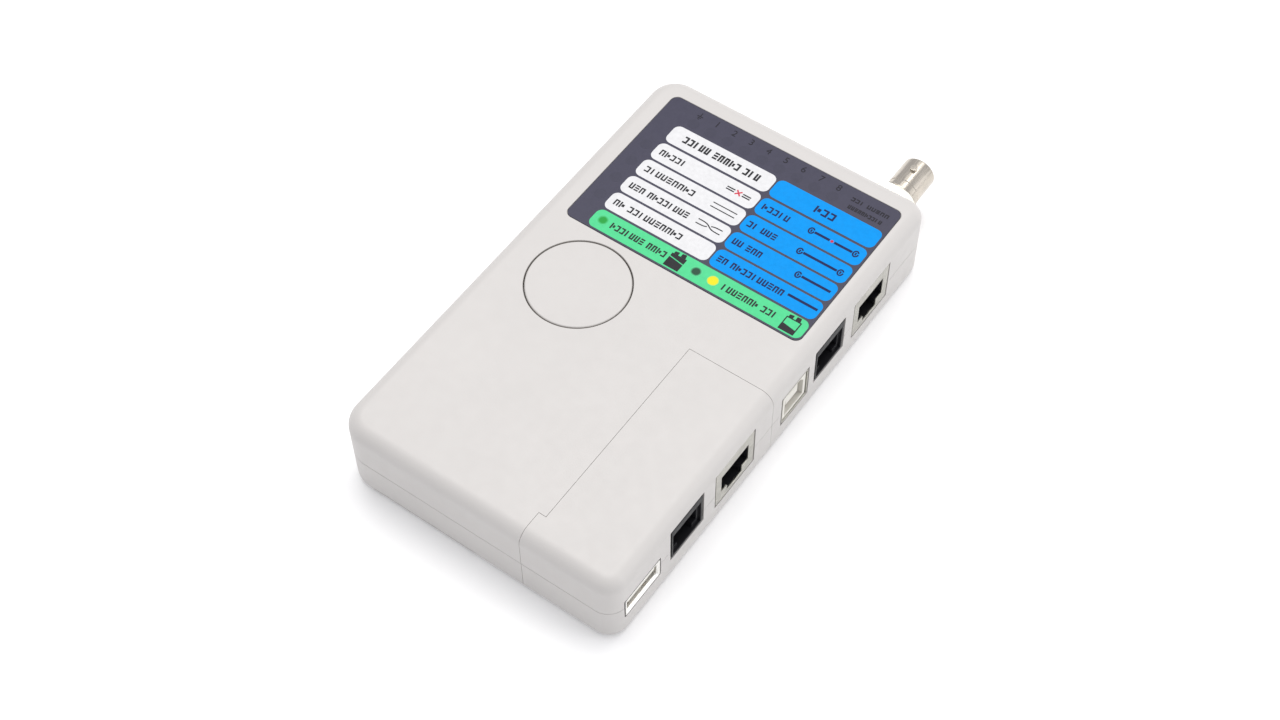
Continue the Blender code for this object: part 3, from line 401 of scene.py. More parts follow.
def settle(item, finish, body, nodes=(), slot=None, smooth=SHARP_ANGLE):
    """Shade an object, give it its material and let it ride on its body."""
    item.data.materials.clear()
    item.data.materials.append(finish)
    item.data.shade_smooth()
    item.data.set_sharp_from_angle(angle=math.radians(smooth))
    normals = item.modifiers.new("normals", "WEIGHTED_NORMAL")
    normals.keep_sharp = True
    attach(item, body)
    if nodes:
        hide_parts(*nodes)
    return item


# ---------------------------------------------------------------- materials

def add(tree, kind, inputs=(), **settings):
    """Node with its settings, its input values and its input links."""
    made = tree.nodes.new(kind)
    for key, value in settings.items():
        setattr(made, key, value)
    for key, value in dict(inputs).items():
        if isinstance(value, bpy.types.NodeSocket):
            tree.links.new(value, made.inputs[key])
        else:
            made.inputs[key].default_value = value
    return made


def blank_material(name, roughness, metallic=0.0, **sockets):
    """Material with a Principled shader, and its object coordinates."""
    made = bpy.data.materials.new(name)
    made.use_nodes = True
    tree = made.node_tree
    shader = tree.nodes["Principled BSDF"]
    shader.inputs["Roughness"].default_value = roughness
    shader.inputs["Metallic"].default_value = metallic
    for key, value in sockets.items():
        shader.inputs[key.replace("_", " ")].default_value = value
    place = add(tree, "ShaderNodeTexCoord").outputs["Object"]
    return made, tree, shader, place


def noise(tree, place, size, detail=3.0, stretch=None):
    """Noise whose grain is about size millimetres, stretched along an axis if asked."""
    if stretch:
        place = add(tree, "ShaderNodeMapping", {"Vector": place, "Scale": stretch}).outputs["Vector"]
    made = add(tree, "ShaderNodeTexNoise", {"Vector": place, "Scale": 1 / (size * MM), "Detail": detail})
    return made.outputs["Fac"]


def spread(tree, value, low, high, start=0.3, stop=0.7):
    """A factor stretched between two values."""
    made = add(tree, "ShaderNodeMapRange", {"Value": value, "From Min": start, "From Max": stop,
                                            "To Min": low, "To Max": high})
    return made.outputs["Result"]


def blended(tree, factor, first, second):
    """Colour between two, by a factor."""
    made = add(tree, "ShaderNodeMix", data_type="RGBA")
    for index, value in ((0, factor), (6, first), (7, second)):
        if isinstance(value, bpy.types.NodeSocket):
            tree.links.new(value, made.inputs[index])
        else:
            made.inputs[index].default_value = value if index == 0 else (*value[:3], 1.0)
    return made.outputs[2]


def scaled(colour, factor):
    """A colour made lighter or darker."""
    return tuple(min(1.0, channel * factor) for channel in colour)


def bumped(tree, shader, height, depth):
    """Relief of a depth in millimetres on a shader."""
    made = add(tree, "ShaderNodeBump", {"Height": height, "Distance": depth * MM, "Strength": 1.0})
    tree.links.new(made.outputs["Normal"], shader.inputs["Normal"])


def math_node(tree, operation, first, second):
    """Result of one sum, product or maximum."""
    return add(tree, "ShaderNodeMath", {0: first, 1: second}, operation=operation).outputs[0]


def finished(tree, shader, tone, polish):
    """Link a shader's colour and its roughness."""
    tree.links.new(tone, shader.inputs["Base Color"])
    tree.links.new(polish, shader.inputs["Roughness"])


def edge_mask(tree, radius):
    """Factor that is high on convex and concave edges, from a rounded normal."""
    rounded = add(tree, "ShaderNodeBevel", {"Radius": radius * MM}, samples=4)
    true_normal = add(tree, "ShaderNodeNewGeometry").outputs["Normal"]
    product = add(tree, "ShaderNodeVectorMath", {0: rounded.outputs["Normal"], 1: true_normal},
                  operation="DOT_PRODUCT")
    return spread(tree, product.outputs["Value"], 1.0, 0.0, 0.80, 0.995)


# Tint of the painted shade that darkens crevices and seams.
CREVICE_SHADE_TINT = (0.60, 0.57, 0.52)
INK_MESH = 0.16
INK_RELIEF = 0.0015


def moulded(name, colour, roughness, grain=0.35, depth=0.006, mottle=0.03, edge_wear_and_highlight=0.0, **sockets):
    """Moulded plastic: fine spark texture, faint flow mottling, worn edges that are also lightened as a
    painted highlight, and painted shade in its crevices.
    """
    made, tree, shader, place = blank_material(name, roughness, **sockets)
    broad = noise(tree, place, 22.0, 4.0)
    tone = blended(tree, spread(tree, broad, 0.0, 1.0), scaled(colour, 1 - mottle),
                   scaled(colour, 1 + mottle))
    polish = spread(tree, noise(tree, place, 3.5), roughness - 0.05, roughness + 0.07)
    if edge_wear_and_highlight:
        # Edge mask with wear patches: it lowers the roughness as real wear and lightens the colour as a
        # painted highlight.
        edges = edge_mask(tree, 0.5)
        patches = spread(tree, noise(tree, place, 1.6), 0.25, 1.0, 0.4, 0.6)
        worn_and_lit_edges = math_node(tree, "MULTIPLY", edges, patches)
        polish = math_node(tree, "ADD", polish, math_node(tree, "MULTIPLY", worn_and_lit_edges, -edge_wear_and_highlight))
        tone = blended(tree, worn_and_lit_edges, tone, scaled(colour, 1.06))
        # Painted shade: ambient occlusion darkens the colour in seams, crevices and recesses.
        crevice_occlusion = add(tree, "ShaderNodeAmbientOcclusion", {"Distance": 0.9 * MM}, samples=6)
        painted_crevice_shade = spread(tree, crevice_occlusion.outputs["AO"], 0.55, 0.0, 0.25, 0.85)
        tone = blended(tree, painted_crevice_shade, tone, tuple(c * f for c, f in zip(colour, CREVICE_SHADE_TINT)))
    finished(tree, shader, tone, polish)
    bumped(tree, shader, noise(tree, place, grain, 2.0), depth)
    return made


def plated(name, colour, roughness, streak=(1.0, 1.0, 1.0), depth=0.003, size=0.5, tarnish=0.12, edge_wear_and_highlight=0.0):
    """Plated metal: drawn streaks, cloudy tarnish and edges lightened as a painted highlight."""
    made, tree, shader, place = blank_material(name, roughness, 1.0)
    cloud = spread(tree, noise(tree, place, 4.0, 5.0), 0.0, 1.0)
    tone = blended(tree, cloud, scaled(colour, 1 - tarnish), scaled(colour, 1 + tarnish / 2))
    if edge_wear_and_highlight:
        # Painted highlight: the colour is lightened along the edges.
        tone = blended(tree, edge_mask(tree, 0.25), tone, scaled(colour, 1 + edge_wear_and_highlight))
    lines = noise(tree, place, size, 3.0, streak)
    finished(tree, shader, tone, spread(tree, lines, roughness - 0.06, roughness + 0.10))
    bumped(tree, shader, lines, depth)
    return made


def printed(name, colour, roughness=0.48, gloss=0.2):
    """Screen-printed ink: slightly uneven density and a fine mesh texture."""
    made, tree, shader, place = blank_material(name, roughness, Specular_IOR_Level=gloss)
    density = spread(tree, noise(tree, place, 1.1, 4.0), 0.0, 1.0)
    tone = blended(tree, density, scaled(colour, 0.95), scaled(colour, 1.04))
    finished(tree, shader, tone, spread(tree, noise(tree, place, 2.5), roughness - 0.05, roughness + 0.07))
    bumped(tree, shader, noise(tree, place, INK_MESH, 1.0), INK_RELIEF)
    return made


def lit_spot(node, name, colour, reach, glow):
    """Printed panel over a lamp, which shows through as a spot that fades into the ink."""
    made, tree, shader, place = blank_material(name, 0.42, Specular_IOR_Level=0.3)
    x, y = node_centre(node)
    centre = Vector((x, y, LABEL_Z[1])) * MM
    offset = add(tree, "ShaderNodeVectorMath", {0: place, 1: centre}, operation="SUBTRACT").outputs[0]
    ripple = spread(tree, noise(tree, place, 0.7), -0.06 * MM, 0.06 * MM)
    away = add(tree, "ShaderNodeVectorMath", {0: offset}, operation="LENGTH").outputs["Value"]
    fade = spread(tree, math_node(tree, "ADD", away, ripple), 0.0, 1.0, reach[0] * MM, reach[1] * MM)
    tone = blended(tree, fade, colour, GREEN_INK)
    tree.links.new(tone, shader.inputs["Base Color"])
    if glow:
        tree.links.new(blended(tree, fade, colour, (0.0, 0.0, 0.0)), shader.inputs["Emission Color"])
        shader.inputs["Emission Strength"].default_value = glow
    bumped(tree, shader, noise(tree, place, INK_MESH, 1.0), INK_RELIEF)
    return made


def epoxy(name, colour):
    """Tinted lamp resin, clear outside with a brighter cup showing through."""
    made, tree, shader, place = blank_material(name, 0.12, Coat_Weight=1.0, Coat_Roughness=0.05,
                                               IOR=1.5, Subsurface_Weight=0.25)
    shader.inputs["Subsurface Radius"].default_value = (1.0, 1.0, 1.0)
    shader.inputs["Subsurface Scale"].default_value = 0.6 * MM
    facing = add(tree, "ShaderNodeLayerWeight", {"Blend": 0.35}).outputs["Facing"]
    cloud = spread(tree, noise(tree, place, 0.9), 0.0, 0.25)
    deep = math_node(tree, "ADD", facing, cloud)
    tone = blended(tree, deep, scaled(colour, 1.15), scaled(colour, 0.6))
    tree.links.new(tone, shader.inputs["Base Color"])
    bumped(tree, shader, noise(tree, place, 0.8), 0.004)
    return made


def board_material():
    """Solder mask over copper: traces show as a raised, lighter network, with pads."""
    made, tree, shader, place = blank_material("solder_mask", 0.35, Coat_Weight=0.3, Coat_Roughness=0.2)
    grid = {"Vector": place, "Scale": 1 / (7.0 * MM), "Mortar Size": 0.035, "Brick Width": 0.62,
            "Row Height": 0.21, "Color1": (0, 0, 0, 1), "Color2": (0, 0, 0, 1), "Mortar": (1, 1, 1, 1)}
    traces = add(tree, "ShaderNodeTexBrick", grid, offset=0.37).outputs["Color"]
    dots = add(tree, "ShaderNodeTexVoronoi", {"Vector": place, "Scale": 1 / (3.1 * MM), "Randomness": 0.55})
    pads = spread(tree, dots.outputs["Distance"], 1.0, 0.0, 0.13, 0.17)
    mask = blended(tree, noise(tree, place, 6.0), (0.008, 0.085, 0.03), (0.012, 0.13, 0.045))
    tracked = blended(tree, traces, mask, (0.03, 0.22, 0.08))
    tone = blended(tree, pads, tracked, (0.72, 0.70, 0.66))
    finished(tree, shader, tone, spread(tree, pads, 0.36, 0.22, 0.0, 1.0))
    tree.links.new(pads, shader.inputs["Metallic"])
    bumped(tree, shader, math_node(tree, "MAXIMUM", traces, pads), 0.04)
    return made


def jacket_material():
    """Battery jacket: dark foil with a copper band round the terminal end."""
    made, tree, shader, place = blank_material("battery_jacket", 0.3, 0.6, Coat_Weight=0.5,
                                               Coat_Roughness=0.1)
    along = add(tree, "ShaderNodeSeparateXYZ", {"Vector": place}).outputs["Y"]
    start = span("battery_9v")[1][1] - BATTERY_BAND
    band = spread(tree, along, 0.0, 1.0, start * MM, (start + 0.2) * MM)
    foil = blended(tree, noise(tree, place, 9.0), (0.016, 0.017, 0.02), (0.03, 0.031, 0.036))
    tone = blended(tree, band, foil, (0.55, 0.29, 0.13))
    finished(tree, shader, tone, spread(tree, noise(tree, place, 1.5), 0.24, 0.4))
    bumped(tree, shader, noise(tree, place, 5.0, 5.0), 0.03)
    return made


CASE_COLOUR = (0.572, 0.552, 0.535)
GREEN_INK = (0.078, 0.60, 0.253)
case_plastic = moulded("case_abs", CASE_COLOUR, 0.46, grain=0.4, depth=0.010, mottle=0.012, edge_wear_and_highlight=0.14)
black_plastic = moulded("socket_black", (0.010, 0.010, 0.012), 0.40, grain=0.25, depth=0.004, mottle=0.15,
                        Specular_IOR_Level=0.16)
chip_plastic = moulded("epoxy_black", (0.020, 0.020, 0.022), 0.55, grain=0.2, depth=0.01, mottle=0.15)
white_plastic = moulded("socket_white", (0.72, 0.70, 0.64), 0.38, grain=0.3, depth=0.004, mottle=0.03)
ptfe = moulded("ptfe", (0.80, 0.79, 0.76), 0.32, grain=0.5, depth=0.003, mottle=0.03, Subsurface_Weight=0.15)
red_wire = moulded("wire_red_pvc", (0.42, 0.02, 0.02), 0.4, grain=0.5, depth=0.01, mottle=0.08)
black_wire = moulded("wire_black_pvc", (0.014, 0.014, 0.015), 0.42, grain=0.5, depth=0.01, mottle=0.15)
# Nickel plating in a shaded and a lit copy: the barrel's colour is darkened as painted shade of its dark
# reflections, and the washer and nut are lightened as a painted highlight.
nickel = plated("nickel_painted_shade", (0.56, 0.515, 0.45), 0.22, (1.0, 0.05, 1.0), 0.002, 0.5, 0.12, 0.35)
painted_highlight_nickel = plated("nickel_painted_highlight", (0.86, 0.85, 0.78), 0.30, (1.0, 0.3, 1.0), 0.001, 0.6, 0.04, 0.05)
# Tin plating in a shaded and a lit copy: the socket shields' colour is darkened as painted shade of their
# reflections, and the flat USB shell is lightened as a painted reflection of the bright floor.
tin = plated("tin_plate", (0.44, 0.43, 0.39), 0.30, (1.0, 0.12, 1.0), 0.004, 0.25, 0.14, 0.20)
painted_reflection_tin = plated("tin_painted_reflection", (0.90, 0.89, 0.86), 0.34, (1.0, 0.12, 1.0), 0.003, 0.3, 0.05, 0.08)
gold = plated("gold_flash", (0.86, 0.60, 0.23), 0.24, (0.2, 1.0, 1.0), 0.002, 0.2, 0.10)
steel = plated("screw_steel", (0.42, 0.42, 0.43), 0.30, (1.0, 1.0, 0.3), 0.006, 0.25, 0.25, 0.35)
film = printed("label_film", (0.0445, 0.0425, 0.072), 0.36, 0.3)
ink_white = printed("ink_white", (0.70, 0.70, 0.71))
ink_blue = printed("ink_blue", (0.0, 0.272, 0.745), 0.5, 0.1)
ink_green = printed("ink_green", GREEN_INK)
ink_dark = printed("ink_dark", (0.018, 0.018, 0.022))
ink_navy = printed("ink_navy", (0.004, 0.010, 0.075))
ink_red = printed("ink_red", (0.56, 0.02, 0.05))
ink_dim = printed("ink_dim", (0.016, 0.015, 0.022))
window_tint = printed("window_tint", (0.0405, 0.039, 0.066), 0.36, 0.3)
board = board_material()
LAMP_FINISHES = {
    "lamp_battery_good": (epoxy("resin_green", (0.02, 0.40, 0.10)), "lamp_green"),
    "lamp_battery_mid": (epoxy("resin_smoke", (0.055, 0.075, 0.07)), "lamp_smoke"),
    "lamp_battery_low": (epoxy("resin_yellow", (0.95, 0.80, 0.01)), "lamp_yellow"),
}
LAMP_SPOTS = (
    ("lamp_battery_good", "spot_green", (0.0, 0.30, 0.03), (0.9, 1.65), 0.0),
    ("lamp_battery_mid", "spot_smoke", (0.006, 0.055, 0.026), (1.0, 1.6), 0.0),
    ("lamp_battery_low", "spot_yellow", (0.68, 0.62, 0.0), (1.3, 1.65), 0.1),
)
red_resin = epoxy("resin_red", (0.38, 0.02, 0.02))


# ---------------------------------------------------------------- case covers

def case_form():
    """Outer form of the whole case, both units together."""
    eases = [math.pi / 2 * i / FILLET_STEPS for i in range(FILLET_STEPS + 1)]
    levels = [(BOTTOM_FILLET * (1 - math.sin(ease)), BOTTOM_FILLET * (1 - math.cos(ease))) for ease in eases]
    levels += [(TOP_FILLET * (1 - math.cos(ease)), CASE_Z - TOP_FILLET * (1 - math.sin(ease)))
               for ease in eases]
    rings = []
    for fillet, z in levels:
        rings.append([(x, y, z) for x, y in case_plan(fillet)])
    return loft("case_form", rings)


def remote_space(grow, grow_top=None):
    """Prism of the remote unit's space through the case's height, grown into the main unit."""
    top = SEAM_Y + (grow if grow_top is None else grow_top)
    step = FOOT_Y + grow
    plan = ((SEAM_X - grow, top), (SEAM_X - grow, step), (FOOT_X - grow, step),
            (FOOT_X - grow, -HALF_Y - BEYOND), (HALF_X + BEYOND, -HALF_Y - BEYOND), (HALF_X + BEYOND, top))
    return prism("remote_space", plan, -BEYOND, CASE_Z + BEYOND)


def cavity_form(x_range, y_range, radius):
    """Inside of a cover pair, with its upper edge eased under the outer fillet."""
    ease = TOP_FILLET - WALL
    roof = CASE_Z - WALL
    rings = []
    for inset, z in ((0.0, FLOOR), (0.0, roof - ease), (0.3 * ease, roof - 0.3 * ease), (ease, roof)):
        outline = rounded_rectangle((x_range[0] + inset, x_range[1] - inset),
                                    (y_range[0] + inset, y_range[1] - inset), radius - inset)
        rings.append([(x, y, z) for x, y in outline])
    return loft("cavity", rings)


def half_space(upper):
    """Everything on the far side of the parting plane from one cover."""
    low = -BEYOND if upper else SPLIT_Z - SPLIT_GAP / 2
    high = SPLIT_Z + SPLIT_GAP / 2 if upper else CASE_Z + BEYOND
    return box("half_space", (-HALF_X - BEYOND, -HALF_Y - BEYOND, low),
               (HALF_X + BEYOND, HALF_Y + BEYOND, high))


def lip_ring(remote, outer, inner, low, high):
    """Upright band inside a unit's walls, between two depths from the outside."""
    bands = []
    for inset, reach in ((outer, 0.0), (inner, BEYOND)):
        band = prism("band", case_plan(inset), low - reach, high + reach)
        if remote:
            combine(band, remote_space(-SEAM_GAP / 2 - inset), "INTERSECT")
        else:
            cut(band, remote_space(SEAM_GAP / 2 + inset))
        bands.append(band)
    return cut(*bands)


def flared(name, outline, low, mouth, axis="Z", edge=EDGE):
    """Cutter along an axis whose mouth rounds outwards where it meets the surface.

    The outline is a function that gives the section for a growth in millimetres.
    """
    rings = [(low, 0.0)]
    for i in range(FLARE_STEPS + 1):
        angle = math.pi / 2 * i / FLARE_STEPS
        rings.append((mouth - edge * (1 - math.sin(angle)), edge * (1 - math.cos(angle))))
    rings.append((mouth + BEYOND, edge))
    return loft(name, [[AXES[axis](u, v, w) for u, v in outline(grow)] for w, grow in rings])


def socket_cutout(node, play=CUTOUT_PLAY):
    """Rectangular way through the right-hand wall, with play around a socket."""
    _, (y0, y1), (z0, z1) = span(node)
    if node.endswith("housing"):
        play += HOUSING_PLAY
        z0 = RJ11_LOW_Z

    def outline(grow):
        reach = play + grow
        return rounded_rectangle((y0 - reach, y1 + reach), (z0 - reach, z1 + reach), 0.3 + grow, 4)

    return flared("cutout", outline, HALF_X - 2 * WALL, HALF_X, "X", FINE_EDGE)


def boss(x, y, upper):
    """Screw boss of one cover, its end just inside the parting plane."""
    if upper:
        return cylinder("boss", (x, y), BOSS_RADIUS, SPLIT_Z + SPLIT_GAP, CASE_Z - WALL / 2)
    return cylinder("boss", (x, y), BOSS_RADIUS, FLOOR / 2, SPLIT_Z - SPLIT_GAP)


def screw_way(x, y, upper):
    """Hole for a screw, with its counterbore in the lower cover."""
    if upper:
        return cylinder("way", (x, y), SCREW_HOLE_RADIUS, SPLIT_Z - 1, SCREW_TIP_Z + 0.5)
    mouth = COUNTERBORE_RADIUS + 0.25
    profile = ((0.0, -1.0), (mouth, -1.0), (mouth, 0.0), (COUNTERBORE_RADIUS, 0.25),
               (COUNTERBORE_RADIUS, COUNTERBORE_Z), (SCREW_HOLE_RADIUS, COUNTERBORE_Z),
               (SCREW_HOLE_RADIUS, SPLIT_Z + 1), (0.0, SPLIT_Z + 1))
    return moved(turned("way", profile, 40), x, y)


def bnc_way(play=0.0):
    """Round way through the far end wall for the coaxial jack's neck."""
    return flared("bnc_way", lambda grow: circle(BNC_X, BNC_Z, BNC_HOLE_RADIUS + play + grow, BNC_STEPS),
                  HALF_Y - 2 * WALL, HALF_Y, "Y")


MAIN_SOCKETS = ("main_rj45_shield", "main_rj11_housing", "usb_b_shell")
REMOTE_SOCKETS = ("remote_rj45_shield", "remote_rj11_housing", "usb_a_shell")


def cover_block(name, remote, upper, *cutters):
    """Solid slice of the case form with its outside openings cut and its edges eased."""
    cover = case_form()
    cover.name = name
    cut(cover, half_space(upper))
    if remote:
        combine(cover, remote_space(-SEAM_GAP / 2), "INTERSECT")
    else:
        cut(cover, remote_space(SEAM_GAP / 2))
    ease_edges(cover, FINE_EDGE)
    cut(cover, *[socket_cutout(node) for node in (REMOTE_SOCKETS if remote else MAIN_SOCKETS)])
    return cut(cover, *cutters)


def hollow(cover, remote, upper):
    """Cut a cover's inside, with the lip or the rebate along the parting line."""
    if remote:
        cavity = cavity_form((SEAM_X + WALL, HALF_X - WALL), (WALL - HALF_Y, SEAM_Y - WALL), 3.0)
    else:
        cavity = cut(cavity_form((WALL - HALF_X, HALF_X - WALL), (WALL - HALF_Y, HALF_Y - WALL),
                                 LEFT_RADIUS - WALL), remote_space(RAIL_WALL, WALL + SEAM_GAP))
    cut(cover, cavity)
    if upper:
        rebate = lip_ring(remote, LIP_OUTER - LIP_PLAY, LIP_INNER + LIP_PLAY, SPLIT_Z,
                          SPLIT_Z + SPLIT_GAP / 2 + LIP_HEIGHT + LIP_PLAY)
        cut(cover, rebate)
    else:
        lip = lip_ring(remote, LIP_OUTER, LIP_INNER, SPLIT_Z - 1.0, SPLIT_Z + SPLIT_GAP / 2 + LIP_HEIGHT)
        for node in REMOTE_SOCKETS if remote else MAIN_SOCKETS:
            cut(lip, socket_cutout(node, 2 * CUTOUT_PLAY))
        if not remote:
            cut(lip, bnc_way(CUTOUT_PLAY))
        join(cover, lip)
    return join(cover, *[boss(x, y, upper) for x, y in (REMOTE_SCREWS if remote else CASE_SCREWS)])


def drill(cover, remote, upper):
    """Cut a cover's screw holes, once every solid part of it is joined."""
    return cut(cover, *[screw_way(x, y, upper) for x, y in (REMOTE_SCREWS if remote else CASE_SCREWS)])


def make_top_cover():
    """Main unit's upper cover."""
    def recess(grow):
        reach = LABEL_PLAY + grow
        return rounded_rectangle((LABEL_X[0] - reach, LABEL_X[1] + reach),
                                 (LABEL_Y[0] - reach, LABEL_Y[1] + reach), LABEL_RADIUS + reach)

    cover = cover_block(
        "top_cover_shell", False, True,
        flared("recess", recess, CASE_Z - LABEL_RECESS, CASE_Z),
        flared("hole", lambda grow: circle(BUTTON_X, BUTTON_Y, BUTTON_HOLE_RADIUS + grow, BUTTON_STEPS),
               CASE_Z - 2 * WALL, CASE_Z),
        bnc_way())
    hollow(cover, False, True)
    for post in DISPLAY_POSTS:
        join(cover, cylinder("post", post, DISPLAY_POST_RADIUS, DISPLAY_BOARD_TOP + BOARD_PLAY,
                             CASE_Z - WALL / 2, steps=24))
    for node in LAMP_NODES:
        cut(cover, cylinder("hole", node_centre(node), LAMP_HOLE_RADIUS, CASE_Z - 2 * WALL, CASE_Z + 1,
                            steps=28))
    drill(cover, False, True)
    settle(cover, case_plastic, MAIN, ["top_cover"], "case")


def door_slab(name, grow, z_range):
    """Slab over the battery door's plan, open towards the near end."""
    x0 = DOOR_BOX[0][0] + DOOR_TONGUE - grow
    x1 = DOOR_BOX[0][1] - DOOR_TONGUE + grow
    return box(name, (x0, -HALF_Y - BEYOND, z_range[0]), (x1, DOOR_BOX[1][1] + grow, z_range[1]))


def make_bottom_cover():
    """Main unit's lower cover, with the door's opening and the rail's slot."""
    cover = cover_block("bottom_cover_shell", False, False, bnc_way(),
                        door_slab("mouth", DOOR_PLAY, (-1.0, DOOR_BOX[2][1])))
    hollow(cover, False, False)
    for post in MAIN_POSTS:
        join(cover, cylinder("post", post, MAIN_POST_RADIUS, FLOOR / 2, BOARD_BOTTOM - BOARD_PLAY, steps=24))
    (x0, x1), (_, end), _ = DOOR_BOX
    join(cover, box("frame", (x0 - DOOR_FRAME, WALL / 2 - HALF_Y, FLOOR / 2),
                    (x1 + DOOR_FRAME, end + DOOR_TONGUE + DOOR_FRAME, FLOOR + DOOR_FRAME_RISE)))
    ledge = DOOR_TONGUE + DOOR_LEDGE
    cut(cover, box("opening", (x0 + ledge, WALL - HALF_Y, FLOOR - DOOR_LEDGE),
                   (x1 - ledge, end - DOOR_LEDGE, FLOOR + BEYOND)))
    cut(cover, door_slab("groove", DOOR_TONGUE + DOOR_PLAY,
                         (DOOR_TONGUE_Z - DOOR_PLAY, DOOR_BOX[2][1] + DOOR_PLAY)))
    drill(cover, False, False)
    slot_y = (-HALF_Y - BEYOND, RAIL_Y[1] + 0.5)
    cut(cover, box("neck_slot", (RAIL_NECK_X - 0.5, slot_y[0], RAIL_NECK_Z[0] - RAIL_PLAY),
                   (SEAM_X + 1.0, slot_y[1], RAIL_NECK_Z[1] + RAIL_PLAY)))
    cut(cover, box("head_slot", (RAIL_HEAD_X - RAIL_PLAY, slot_y[0], RAIL_HEAD_Z[0] - RAIL_PLAY),
                   (RAIL_NECK_X + RAIL_PLAY, slot_y[1], RAIL_HEAD_Z[1] + RAIL_PLAY)))
    settle(cover, case_plastic, MAIN, ["bottom_cover"], "case")


def make_remote_covers():
    """Remote unit's two covers, the lower one with the T-shaped rail."""
    top = drill(hollow(cover_block("remote_top_shell", True, True), True, True), True, True)
    settle(top, case_plastic, REMOTE, ["remote_top_cover"], "case")
    bottom = drill(hollow(cover_block("remote_bottom_shell", True, False), True, False), True, False)
    root = SEAM_X + 1.0
    rail = ((RAIL_HEAD_X, RAIL_HEAD_Z[0]), (RAIL_NECK_X, RAIL_HEAD_Z[0]), (RAIL_NECK_X, RAIL_NECK_Z[0]),
            (root, RAIL_NECK_Z[0]), (root, RAIL_NECK_Z[1]), (RAIL_NECK_X, RAIL_NECK_Z[1]),
            (RAIL_NECK_X, RAIL_HEAD_Z[1]), (RAIL_HEAD_X, RAIL_HEAD_Z[1]))
    join(bottom, ease_edges(prism("rail", rail, RAIL_Y[0], RAIL_Y[1], "Y"), 0.12, 2))
    settle(bottom, case_plastic, REMOTE, ["remote_bottom_cover"], "case")


def make_battery_door():
    """Sliding battery door with side tongues, grip ribs and an arrow for its way."""
    x0, x1 = DOOR_BOX[0][0] + DOOR_TONGUE, DOOR_BOX[0][1] - DOOR_TONGUE
    y1, top = DOOR_BOX[1][1], DOOR_BOX[2][1]
    door = box("battery_door_plate", (x0, -HALF_Y - 1, 0.0), (x1, y1, top))
    combine(door, case_form(), "INTERSECT")
    middle = (x0 + x1) / 2
    for i in range(GRIP_COUNT):
        y = GRIP_Y + GRIP_PITCH * i
        groove = rounded_rectangle((middle - GRIP_REACH, middle + GRIP_REACH), (y, y + GRIP_WIDTH), 0.5, 5)
        cut(door, prism("grip", groove, -1.0, GRIP_DEPTH))
    arrow = ((middle, ARROW_Y[0]), (middle + ARROW_REACH, ARROW_Y[1]), (middle - ARROW_REACH, ARROW_Y[1]))
    cut(door, prism("arrow", arrow, -1.0, ARROW_DEPTH))
    ease_edges(door, 0.18)
    tongues = box("tongues", (x0 - DOOR_TONGUE, -HALF_Y - 1, DOOR_TONGUE_Z),
                  (x1 + DOOR_TONGUE, y1 - 1.0, top))
    combine(tongues, case_form(), "INTERSECT")
    join(door, tongues)
    settle(door, case_plastic, DOOR, ["battery_door"], "case")


def make_button():
    """Round cap with an eased rim, its flange and its centre post."""
    profile = [(0.0, CASE_Z), (BUTTON_RADIUS - 1.5, CASE_Z)]
    for i in range(7):
        angle = math.pi / 2 * i / 6
        profile.append((BUTTON_RADIUS - BUTTON_RIM * (1 - math.sin(angle)),
                        CASE_Z - BUTTON_RIM * (1 - math.cos(angle))))
    base = span("test_button_cap")[2][0]
    profile += [(BUTTON_RADIUS, 22.8), (15.3, 22.7), (15.4, 22.6), (15.4, 21.4), (12.4, 21.4),
                (12.4, 23.4), (2.0, 23.4), (2.0, base + 0.1), (1.9, base), (0.0, base)]
    cap = moved(turned("test_button_shell", profile, BUTTON_STEPS), BUTTON_X, BUTTON_Y)
    settle(cap, case_plastic, BUTTON, ["test_button_cap"], "case", 40.0)


make_top_cover()
make_bottom_cover()
make_remote_covers()
make_battery_door()
make_button()


# ---------------------------------------------------------------- label

PRINT_LOW = LABEL_Z[1] - 0.005
PANEL_TOP = LABEL_Z[1] + 0.015
MARK_TOP = LABEL_Z[1] + 0.030
ROW_PITCH = 7.08
ROW_HEIGHT = 6.38
ROW_TOP_Y = 45.9
WHITE_X = (-28.6, 4.5)
BLUE_X = (5.0, 37.65)
BAR_X = (-28.6, 37.9)
BAR_Y = (14.3, 20.75)
PANEL_RADIUS = 1.9
SPOT_RADIUS = 1.75
SPOT_STEPS = 48
LINE_PEN = 0.78
CROSS_PEN = 0.42
DIM_PEN = 0.34
DIM_HEIGHT = 1.3
TITLE_PEN = 0.58
TITLE_HEIGHT = 2.45
TEXT_PEN = 0.46
TEXT_HEIGHT = 2.05
TITLE_Y = (49.85, 56.6)
DIGIT_Y = 62.75
DIGIT_SIZE = 3.0
WELD = 1e-4


def layer(name, outlines, top, finish):
    """Print layer: thin closed plates that stand on the film."""
    plates = [prism("plate", outline, PRINT_LOW, top) for outline in outlines]
    settle(merged(name, plates), finish, MAIN, (), "label")


def bar(x0, x1, y0, y1):
    """Rectangle outline."""
    return [(x0, y0), (x1, y0), (x1, y1), (x0, y1)]


def stroke(points, width):
    """Outline of a line of some width through points."""
    sides = ([], [])
    for i, point in enumerate(points):
        before = Vector(points[max(i - 1, 0)])
        after = Vector(points[min(i + 1, len(points) - 1)])
        along = (after - before).normalized()
        across = Vector((-along.y, along.x)) * width / 2
        sides[0].append(tuple(Vector(point) + across))
        sides[1].append(tuple(Vector(point) - across))
    return sides[0] + sides[1][::-1]


